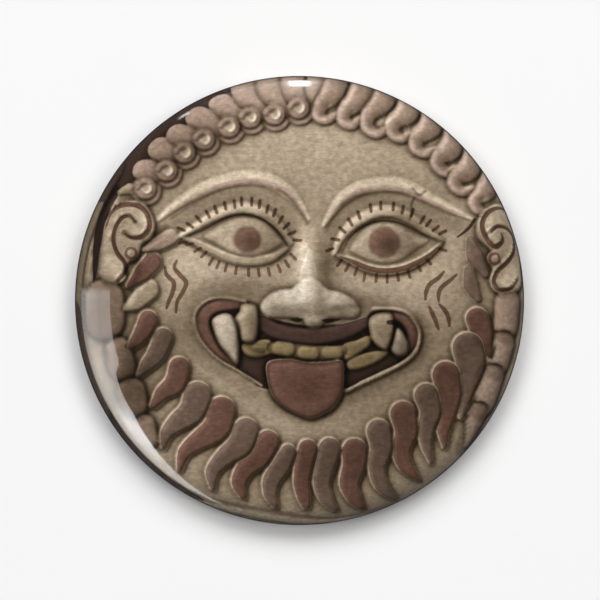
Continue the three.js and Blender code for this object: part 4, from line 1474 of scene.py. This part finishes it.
@dataclass
class PrintedPaper:
    """The printed paper disc, rolled with the film."""

    depth: float = 0.10
    thickness: float = 0.10
    crown_rings: int = 128
    shoulder_rings: int = 14
    turned_rings: int = 9
    back_steps: int = 96
    crown_steps: int = 60  # of the section that the rings are laid along, and so are the next two
    shoulder_steps: int = 40
    curl_steps: int = 16
    grid_turn: float = 0.11  # radians, so that the grid's diagonals miss the finest lines

    def build(self, section: RimSection, drawing: GorgonPrint, finish: PrintFinish) -> None:
        """Lays a fine grid over the face, adds the paper's back and prints a drawing on it.

        Args:
            section: The badge's section.
            drawing: The picture.
            finish: The inks.
        """
        piece = self.face_grid(section)
        self.add_back(piece, section)
        self.print_on(piece, drawing)
        finish_piece(piece, "printed_paper", finish.material(), 50)

    def face_grid(self, section: RimSection) -> Piece:
        """Adds a square grid and lays it on the face as nested rings, which the rim turns under.

        Args:
            section: The badge's section.

        Returns:
            The piece. Its vertices carry their place on the flat paper.
        """
        rings = self.crown_rings + self.shoulder_rings + self.turned_rings
        deselect_all()
        bpy.ops.mesh.primitive_grid_add(x_subdivisions=2 * rings, y_subdivisions=2 * rings, size=2)
        piece = bpy.context.object
        piece.name = piece.data.name = "print_disc"
        mesh = piece.data
        co = np.empty(len(mesh.vertices) * 3, np.float32)
        mesh.vertices.foreach_get("co", co)
        square = co.reshape(-1, 3).astype(float)
        a, b = square[:, 0], square[:, 1]
        ring = np.maximum(np.abs(a), np.abs(b))
        wide = np.abs(a) >= np.abs(b)
        lead = np.where(wide, a, b)
        slant = math.pi / 4 * np.where(wide, b, a) / np.where(lead == 0, 1, lead)
        angle = np.where(wide, slant, math.pi / 2 - slant) + np.where(lead < 0, math.pi, 0) + self.grid_turn
        steps = (self.crown_steps, self.shoulder_steps, self.curl_steps)
        outline = np.array(section.outline(self.depth, *steps))
        walked = np.r_[0, np.cumsum(np.hypot(*np.diff(outline, axis=0).T))]
        crown_end, shoulder_end = walked[self.crown_steps], walked[self.crown_steps + self.shoulder_steps]
        stations = np.r_[
            np.linspace(0, crown_end, self.crown_rings + 1),
            np.linspace(crown_end, shoulder_end, self.shoulder_rings + 1)[1:],
            np.linspace(shoulder_end, walked[-1], self.turned_rings + 1)[1:],
        ]
        along = np.interp(ring * rings, np.arange(rings + 1), stations)
        radius, height = (np.interp(along, walked, outline[:, axis]) for axis in (0, 1))
        placed = np.c_[radius * np.cos(angle), radius * np.sin(angle), height] * MM
        mesh.vertices.foreach_set("co", placed.astype(np.float32).ravel())
        flat = {"print_x": along * np.cos(angle), "print_y": along * np.sin(angle)}
        for name, values in {**flat, "face_side": np.ones(len(along))}.items():
            mesh.attributes.new(name, "FLOAT", "POINT").data.foreach_set("value", values.astype(np.float32))
        mesh.update()
        return piece

    def add_back(self, piece: Piece, section: RimSection) -> None:
        """Turns the paper's back and closes the narrow ring between it and the face, at the rolled tip.

        Args:
            piece: The face, which the back is joined to.
            section: The badge's section.
        """
        back = turn_section("print_back", section.outline(self.depth + self.thickness, 8, 10, 8),
            self.back_steps)
        deselect_all()
        back.select_set(True)
        piece.select_set(True)
        bpy.context.view_layer.objects.active = piece
        bpy.ops.object.join()
        bpy.ops.object.mode_set(mode="EDIT")
        bpy.ops.mesh.select_mode(type="EDGE")
        bpy.ops.mesh.select_all(action="DESELECT")
        bpy.ops.mesh.select_non_manifold(
            extend=False, use_wire=False, use_multi_face=False, use_non_contiguous=False, use_verts=False
        )
        bpy.ops.mesh.fill()
        bpy.ops.mesh.select_all(action="SELECT")
        bpy.ops.mesh.normals_make_consistent(inside=False)
        bpy.ops.mesh.quads_convert_to_tris(quad_method="SHORTEST_DIAGONAL", ngon_method="BEAUTY")
        bpy.ops.object.mode_set(mode="OBJECT")

    def print_on(self, piece: Piece, drawing: GorgonPrint) -> None:
        """Gives each vertex its distance to every paint and the light of the picture.

        Args:
            piece: The paper.
            drawing: The picture.
        """
        mesh = piece.data
        x, y = (np.empty(len(mesh.vertices), np.float32) for _ in range(2))
        mesh.attributes["print_x"].data.foreach_get("value", x)
        mesh.attributes["print_y"].data.foreach_get("value", y)
        board = drawing.draw()
        reach = np.hypot(x, y)
        inward = np.minimum(1, drawing.bleed / np.maximum(reach, drawing.bleed))
        x, y = x * inward, y * inward
        for paint, distance in board.paints.items():
            values = board.sample(distance, x, y).astype(np.float32)
            mesh.attributes.new(paint.value, "FLOAT", "POINT").data.foreach_set("value", values)
        light = drawing.picture_light(x, y).astype(np.float32)
        mesh.attributes.new("clay_light", "FLOAT_COLOR", "POINT").data.foreach_set("color", light.ravel())


@dataclass
class FrontShell:
    """The tinplate shell that carries the paper and the film."""

    depth: float = 0.22
    thickness: float = 0.20
    steps: int = 96

    def build(self, section: RimSection, material: Material) -> None:
        """Turns the shell round the badge's axis."""
        piece = turn_section("tin_shell", section.sheet(self.depth, self.thickness), self.steps)
        finish_piece(piece, "front_shell", material, 50)


@dataclass
class BackPlate:
    """The pressed back plate, with its hem in the rolled rim and the catch that is cut and folded from it."""

    thickness: float = 0.20
    land_height: float = 2.25  # its underside
    well_radius: float = 14.75
    well_slope: float = 1.2
    well_depth: float = 0.6
    well_bend: float = 0.7
    hem_radius: float = 0.33
    hem_bend: float = 0.3
    hem_lead: float = 0.05
    bead_radius: float = 24.3
    bead_height: float = 0.2
    bead_half: float = 0.4
    bead_slope: float = 0.5
    bead_bends: Spot = (0.5, 0.35)  # at the land and at the bead's foot
    catch_x: float = 17.5
    catch_width: float = 2.4
    catch_lip: float = 0.45
    bend_radius: float = 0.61  # of the tongue's middle round the pin
    root_bend: float = 0.3  # where the tongue leaves the plate
    root_overlap: float = 0.1
    window_width: float = 2.7
    window_length: float = 2.64
    window_start: float = 0.4  # from the tongue's root
    window_corner: float = 0.3
    hole_radius: float = 0.75
    steps: int = 144

    def build(self, section: RimSection, wire: "PinWire", material: Material) -> None:
        """Presses the plate, cuts the window and the hole, and folds the catch.

        Args:
            section: The badge's section.
            wire: The pin that the catch holds.
            material: The plate's metal.
        """
        piece = turn_section("back_plate_pressed", self.outline(section), self.steps)
        bpy.ops.object.mode_set(mode="OBJECT")
        root_y = wire.offset + self.bend_radius + self.root_bend
        apply_boolean(piece, self.window_tool(root_y), "DIFFERENCE")
        apply_boolean(piece, self.hole_tool(wire), "DIFFERENCE")
        apply_boolean(piece, self.tongue(wire, root_y), "UNION")
        finish_piece(piece, "back_plate", material, 30)

    def outline(self, section: RimSection) -> Points:
        """Draws the plate's section: the well, the land with its bead, and the hem inside the rim.

        Args:
            section: The badge's section.

        Returns:
            Its points as radius and height, from the axis and back to it.
        """
        middle = self.land_height + self.thickness / 2
        top, bottom = middle + self.well_depth, middle - self.bead_height
        inner, outer = section.inner_curl_r, section.outer_curl_r
        foot, edge = self.bead_half, self.bead_half + self.bead_slope
        edge_bend, foot_bend = self.bead_bends
        path = rounded([
            (0, top, 0),
            (self.well_radius, top, self.well_bend),
            (self.well_radius + self.well_slope, middle, self.well_bend),
            (self.bead_radius - edge, middle, edge_bend),
            (self.bead_radius - foot, bottom, foot_bend),
            (self.bead_radius + foot, bottom, foot_bend),
            (self.bead_radius + edge, middle, edge_bend),
            (inner - self.hem_radius, middle, self.hem_bend),
            (inner - self.hem_radius, section.curl_radius + self.hem_lead, 0),
        ])
        path += arc((inner, section.curl_radius), self.hem_radius, -180, -90, 5)
        path += arc((outer, section.curl_radius), self.hem_radius, -90, 0, 5)
        path.append((outer + self.hem_radius, section.shoulder_height))
        outline = sheet_outline(path, self.thickness)
        outline[0], outline[-1] = (0, outline[0][1]), (0, outline[-1][1])
        return outline

    def window_tool(self, root_y: float) -> Piece:
        """Makes the block that cuts the opening the tongue leaves, with rounded corners.

        Args:
            root_y: Where the tongue leaves the plate.

        Returns:
            The block.
        """
        deselect_all()
        low_y = root_y - self.window_start - self.window_length
        size = Vector((self.window_width, root_y - low_y, 4 * self.thickness)) * MM
        place = Vector((self.catch_x, (root_y + low_y) / 2, self.land_height + self.thickness / 2)) * MM
        bpy.ops.mesh.primitive_cube_add(size=1, location=place, scale=size)
        tool = bpy.context.object
        bpy.ops.object.transform_apply()
        bpy.ops.object.mode_set(mode="EDIT")
        bpy.ops.mesh.select_mode(type="EDGE")
        bpy.ops.mesh.select_all(action="DESELECT")
        bpy.ops.object.mode_set(mode="OBJECT")
        corners = tool.data.vertices
        for edge in tool.data.edges:
            start, end = (corners[index].co for index in edge.vertices)
            edge.select = abs(start.z - end.z) > 0.1 * MM
        bpy.ops.object.mode_set(mode="EDIT")
        bpy.ops.mesh.bevel(offset=self.window_corner * MM, segments=5)
        bpy.ops.object.mode_set(mode="OBJECT")
        return tool

    def hole_tool(self, wire: "PinWire") -> Piece:
        """Makes the rod that cuts the hole for the wire.

        Args:
            wire: The wire, whose root goes through the hole.

        Returns:
            The rod.
        """
        deselect_all()
        place = Vector((wire.root_x, wire.offset, self.land_height + self.thickness / 2)) * MM
        sizes = {"radius": self.hole_radius * MM, "depth": 4 * self.thickness * MM}
        bpy.ops.mesh.primitive_cylinder_add(vertices=32, location=place, **sizes)
        bpy.ops.object.transform_apply()
        return bpy.context.object

    def tongue(self, wire: "PinWire", root_y: float) -> Piece:
        """Folds the tongue down from the plate and round the pin, open to one side.

        Args:
            wire: The pin.
            root_y: Where the tongue leaves the plate.

        Returns:
            The tongue.
        """
        middle = self.land_height + self.thickness / 2
        down = wire.offset + self.bend_radius
        start = (root_y + self.root_overlap, middle, 0)
        path = rounded([start, (down, middle, self.root_bend), (down, wire.height, 0)])
        path += arc((wire.offset, wire.height), self.bend_radius, 0, -90, 9)[1:]
        path += [(wire.offset - self.catch_lip, wire.height - self.bend_radius)]
        left = self.catch_x - self.catch_width / 2
        corners = [Vector((left, y, z)) for y, z in sheet_outline(path, self.thickness)]
        tool = start_point("catch_tongue", corners[0])
        draw_on(corners)
        bpy.ops.mesh.select_all(action="SELECT")
        bpy.ops.mesh.edge_face_add()
        bpy.ops.mesh.extrude_region_move(TRANSFORM_OT_translate={"value": (self.catch_width * MM, 0, 0)})
        bpy.ops.mesh.select_all(action="SELECT")
        bpy.ops.mesh.normals_make_consistent(inside=False)
        bpy.ops.object.mode_set(mode="OBJECT")
        return tool


@dataclass
class PinWire:
    """The spring wire: its straight arm with a ground point, and the arc that lies hidden on the plate."""

    radius: float = 0.45
    offset: float = 6.0  # above the badge's middle
    height: float = 0.86  # of the arm's axis
    point_x: float = 22.204
    point_length: float = 3.0
    root_x: float = -19.837
    root_bend: float = 1.0
    inner_bend: float = 0.9
    root_lead: float = 0.4
    anchor_height: float = 2.93
    anchor_turn: float = 2.0
    anchor_end_deg: float = 60.0
    sides: int = 24
    point_profile: tuple[Spot, ...] = (  # share of the way to the tip and share of the width
        (0, 1), (0.12, 0.97), (0.35, 0.80), (0.65, 0.48), (0.88, 0.20), (0.97, 0.10), (1, 0.03)
    )

    def build(self, material: Material) -> None:
        """Draws the wire out from a circle, bend by bend, and grinds its point.

        Args:
            material: The wire's finish.
        """
        deselect_all()
        start = Vector((self.point_x - self.point_length, self.offset, self.height))
        bpy.ops.mesh.primitive_circle_add(
            vertices=self.sides, radius=self.radius * MM, location=start * MM, rotation=(0, math.pi / 2, 0)
        )
        piece = bpy.context.object
        piece.name = piece.data.name = "spring_pin"
        bpy.ops.object.transform_apply()
        bpy.ops.object.mode_set(mode="EDIT")
        bpy.ops.mesh.select_mode(type="VERT")
        bpy.ops.mesh.select_all(action="SELECT")
        self.run((self.root_x + self.root_bend - start.x, 0, 0))
        bend = Vector((self.root_x + self.root_bend, self.offset, self.height + self.root_bend))
        self.turn(bend, (0, 1, 0), 90, 10)
        self.run((0, 0, self.anchor_height - self.inner_bend - bend.z))
        bend = Vector((self.root_x - self.inner_bend, self.offset, self.anchor_height - self.inner_bend))
        self.turn(bend, (0, 1, 0), -90, 10)
        self.run((-self.root_lead, 0, 0))
        turn_x = self.root_x - self.inner_bend - self.root_lead
        turn_y = self.offset + self.anchor_turn
        join_deg = math.degrees(math.atan2(turn_y, turn_x))
        self.turn(Vector((turn_x, turn_y, 0)), (0, 0, 1), join_deg - 270, 12)
        self.turn(Vector((0, 0, 0)), (0, 0, 1), self.anchor_end_deg - join_deg, 40)
        bpy.ops.mesh.edge_face_add()
        self.grind_point(piece, start)
        bpy.ops.mesh.select_all(action="SELECT")
        bpy.ops.mesh.remove_doubles(threshold=MERGE_DISTANCE)
        bpy.ops.mesh.normals_make_consistent(inside=False)
        finish_piece(piece, "pin_wire", material, 40)

    def run(self, step: tuple[float, float, float]) -> None:
        """Draws the open end straight on, in millimetres."""
        bpy.ops.mesh.extrude_region_move(TRANSFORM_OT_translate={"value": Vector(step) * MM})

    def turn(self, centre: Vector, axis: tuple[int, int, int], angle_deg: float, steps: int) -> None:
        """Draws the open end on round a bend."""
        angle = -math.radians(angle_deg)
        bpy.ops.mesh.spin(steps=steps, angle=angle, center=centre * MM, axis=axis, use_auto_merge=False)

    def grind_point(self, piece: Piece, start: Vector) -> None:
        """Draws the arm's open end out to a slim point with a rounded tip.

        Args:
            piece: The wire, in edit mode.
            start: Where the arm's straight part ends.
        """
        bpy.ops.object.mode_set(mode="OBJECT")
        for vertex in piece.data.vertices:
            vertex.select = abs(vertex.co.x - start.x * MM) < 0.01 * MM and vertex.co.z < 1.5 * MM
        for edge in piece.data.edges:
            edge.select = all(piece.data.vertices[index].select for index in edge.vertices)
        for face in piece.data.polygons:
            face.select = False
        bpy.ops.object.mode_set(mode="EDIT")
        for (at, width), (next_at, next_width) in zip(self.point_profile, self.point_profile[1:]):
            self.run(((next_at - at) * self.point_length, 0, 0))
            bpy.ops.transform.resize(value=(1, next_width / width, next_width / width))
        bpy.ops.mesh.edge_face_add()


@dataclass(frozen=True)
class Softbox:
    """An area light, placed by its direction from the badge. No shiny surface mirrors it."""

    name: str
    azimuth_deg: float
    from_zenith_deg: float
    distance: float  # metres
    width: float  # metres
    height: float  # metres
    power: float  # watts

    def add(self) -> None:
        """Adds the light, turned to the badge."""
        tilt, azimuth = math.radians(self.from_zenith_deg), math.radians(self.azimuth_deg)
        out = Vector((math.sin(tilt) * math.cos(azimuth), math.sin(tilt) * math.sin(azimuth), math.cos(tilt)))
        deselect_all()
        bpy.ops.object.light_add(type="AREA", location=out * self.distance)
        lamp = bpy.context.object
        lamp.name = lamp.data.name = self.name
        lamp.rotation_euler = (-out).to_track_quat("-Z", "Y").to_euler()
        lamp.data.shape = "RECTANGLE"
        lamp.data.size, lamp.data.size_y = self.width, self.height
        lamp.data.energy = self.power
        lamp.visible_camera = lamp.visible_glossy = lamp.visible_transmission = False


@dataclass(frozen=True)
class Glint:
    """A lamp that only shows mirrored in the film, with a soft edge."""

    turn_deg: float  # round the badge
    half_turn: float
    from_tilt: float  # degrees from straight up
    to_tilt: float
    soft_tilt: float
    brightness: float

    def strength(self, wiring: Wiring, turn: Socket, tilt: Socket) -> Socket:
        """Draws the glint.

        Args:
            wiring: The world's nodes.
            turn: Direction round the badge, in degrees.
            tilt: Degrees from straight up.

        Returns:
            Its brightness in each direction.
        """
        aside = wiring.apart(turn, self.turn_deg)
        wide = wiring.ramp(aside, self.half_turn * 0.5, self.half_turn * 1.5, 1, 0)
        rise = wiring.ramp(tilt, self.from_tilt - self.soft_tilt, self.from_tilt + self.soft_tilt)
        fall = wiring.ramp(tilt, self.to_tilt - 8, self.to_tilt + 8, 1, 0)
        shape = wiring.times(wide, wiring.times(rise, fall))
        return wiring.times(shape, self.brightness)


@dataclass(frozen=True)
class Sheen:
    """The tall softbox on the left that the shoulder mirrors, with soft edges. Its places are in degrees."""

    upper_end: Spot = (176, 178)  # round the badge, and so is the next
    lower_end: Spot = (201.6, 205.6)
    lower_slant: float = -0.45  # for each degree from straight up
    inner_edge: Spot = (10.78, 10.96)  # from straight up, and so is the next
    outer_edge: Spot = (96, 108)
    inner_slant: float = -0.012  # for each degree round the badge
    tail: Spot = (198, 211)  # where the inner edge moves outward
    tail_shift: float = 10.0
    glow: Spot = (2, 3.3)  # at the upper end and further down
    outer_glow: float = 0.5
    outer_fade: float = 0.72
    hot_turn: float = 219.5
    hot_tilt: float = 55.0
    hot_brightness: float = 4.6

    def strength(self, wiring: Wiring, turn: Socket, tilt: Socket) -> Socket:
        """Draws the softbox, brightest near its lower end.

        Args:
            wiring: The world's nodes.
            turn: Direction round the badge, in degrees.
            tilt: Degrees from straight up.

        Returns:
            Its brightness in each direction.
        """
        lower = wiring.ramp(wiring.math("MULTIPLY_ADD", tilt, self.lower_slant, turn), *self.lower_end, 1, 0)
        inner = wiring.math("MULTIPLY_ADD", turn, self.inner_slant, tilt)
        inner = wiring.math("SUBTRACT", inner, wiring.ramp(turn, *self.tail, 0, self.tail_shift))
        inside = wiring.times(lower, wiring.ramp(turn, *self.upper_end))
        inside = wiring.times(inside, wiring.ramp(inner, *self.inner_edge))
        inside = wiring.times(inside, wiring.ramp(tilt, *self.outer_edge, 1, 0))
        beside = wiring.apart(turn, self.hot_turn)
        across = wiring.apart(tilt, self.hot_tilt)
        hot = wiring.ramp(beside, 3, 12, self.hot_brightness, 0)
        hot = wiring.times(hot, wiring.ramp(across, 4, 42, 1, 0))
        glow = wiring.ramp(turn, 186, 204, *self.glow)
        glow = wiring.math("ADD", glow, wiring.ramp(tilt, 20, 50, 0, self.outer_glow))
        glow = wiring.times(glow, wiring.ramp(tilt, 60, 96, 1, self.outer_fade))
        return wiring.times(inside, wiring.math("ADD", glow, hot))


@dataclass
class Studio:
    """The camera straight above, the pale floor and the soft light."""

    lens: float = 200.0  # millimetres, for a sensor 36 wide
    sensor: float = 36.0
    picture_px: float = 600.0
    badge_px: float = 449.0
    centre_px: Spot = (299.5, 300.5)
    floor_size: float = 3.0  # metres
    floor_shade: float = 0.87
    world_strength: float = 0.02
    mirrored_strength: float = 0.03
    lights: tuple[Softbox, ...] = (
        Softbox("back_right_light", 64, 46, 3, 2, 1.2, 48),
        Softbox("back_left_light", 118, 46, 3, 2, 1.2, 48),
        Softbox("right_light", 2, 38, 3, 1.2, 1.2, 21.5),
        Softbox("left_light", 170, 38, 3, 1.2, 1.2, 23),
    )
    mirrored: tuple[Sheen | Glint, ...] = (
        Sheen(),
        Glint(90, 2.5, 82, 110, 10, 10.5),
        Glint(90, 5.2, 56, 116, 36, 0.9),
        Glint(98, 16, 60, 112, 50, 0.5),
        Glint(122, 1.5, 97, 108, 5, 4.5),
    )

    def build(self, section: RimSection) -> None:
        """Sets up the camera, the floor, the world and the lights.

        Args:
            section: The badge's section.
        """
        self.camera(section)
        self.floor()
        self.world()
        for light in self.lights:
            light.add()
        bpy.context.scene.view_settings.view_transform = "Standard"

    def camera(self, section: RimSection) -> None:
        """Hangs the camera so that the badge is as wide in the picture as in the photo.

        Args:
            section: The badge's section.
        """
        deselect_all()
        per_px = 2 * section.outer_radius / self.badge_px
        half_view = self.sensor / 2 / self.lens
        above_rim = self.picture_px / 2 * per_px / half_view
        x = (self.picture_px / 2 - self.centre_px[0]) * per_px
        y = (self.centre_px[1] - self.picture_px / 2) * per_px
        place = Vector((x, y, above_rim + section.shoulder_height)) * MM
        bpy.ops.object.camera_add(location=place, rotation=(0, 0, 0))
        camera = bpy.context.object
        camera.name = "photo_camera"
        camera.data.lens, camera.data.sensor_width = self.lens, self.sensor
        camera.data.clip_start = 0.01
        bpy.context.scene.camera = camera

    def floor(self) -> None:
        """Lays the floor. Its underside is see-through, so that the badge's back shows from below."""
        deselect_all()
        bpy.ops.mesh.primitive_plane_add(size=self.floor_size, location=(0, 0, 0))
        floor = bpy.context.object
        floor.name = "studio_floor"
        floor.visible_glossy = floor.visible_transmission = False
        material, wiring, shader, place = new_material("matte_white_floor")
        blotch = wiring.noise(place, 40, detail=2)
        shade = wiring.ramp(blotch, 0.3, 0.7, self.floor_shade * 0.995, self.floor_shade)
        grey = wiring.add("CombineColor", {0: shade, 1: shade, 2: shade}).outputs[0]
        wiring.feed(shader, {"Base Color": grey, "Roughness": 0.9, "Specular IOR Level": 0.0})
        below = wiring.add("NewGeometry").outputs["Backfacing"]
        clear = wiring.add("BsdfTransparent")
        shown = wiring.add("MixShader", {0: below, 1: shader.outputs[0], 2: clear.outputs[0]})
        wiring.tree.links.new(shown.outputs[0], material.node_tree.nodes["Material Output"].inputs[0])
        floor.data.materials.append(material)

    def world(self) -> None:
        """Lights the room evenly. Mirrored rays see only the sheen and the glints in a dark room."""
        world = bpy.data.worlds.new("soft_room")
        world.use_nodes = True
        bpy.context.scene.world = world
        wiring = Wiring(world.node_tree)
        x, y, z = wiring.add("SeparateXYZ", {0: wiring.add("TexCoord").outputs["Generated"]}).outputs
        turn = wiring.times(wiring.math("ARCTAN2", y, x), 180 / math.pi)
        turn = wiring.math("WRAP", turn, 360, 0)
        tilt = wiring.times(wiring.math("ARCCOSINE", z), 180 / math.pi)
        mirrored = self.mirrored_strength
        for light in self.mirrored:
            mirrored = wiring.math("ADD", light.strength(wiring, turn, tilt), mirrored)
        path = wiring.add("LightPath").outputs
        share = wiring.math("MAXIMUM", path["Is Glossy Ray"], path["Is Singular Ray"])
        rest = wiring.math("SUBTRACT", mirrored, self.world_strength)
        strength = wiring.math("MULTIPLY_ADD", share, rest, self.world_strength)
        wiring.feed(world.node_tree.nodes["Background"], {"Color": (1, 1, 1, 1), "Strength": strength})


def main() -> None:
    """Builds the studio and the five pieces, and reports each."""
    logging.basicConfig(level=logging.INFO, format="%(name)s: %(message)s")
    section = RimSection()
    Studio().build(section)
    wear = metal_wear_group()
    shell_tin = MetalFinish("shell_tinplate", (0.68, 0.69, 0.70, 1), 0.25, 0.42, 0.8, 0.4)
    plate_tin = MetalFinish("plate_tinplate", (0.66, 0.67, 0.68, 1), 0.22, 0.45, 1, 1, turn_deg=24)
    spring_steel = MetalFinish("nickel_wire", (0.72, 0.72, 0.71, 1), 0.16, 0.32, 0.7, 0.6)
    wire = PinWire()
    ClearFilm().build(section, FilmFinish())
    PrintedPaper().build(section, GorgonPrint(), PrintFinish())
    FrontShell().build(section, shell_tin.material(wear))
    BackPlate().build(section, wire, plate_tin.material(wear))
    wire.build(spring_steel.material(wear))


if __name__ == "__main__":
    main()
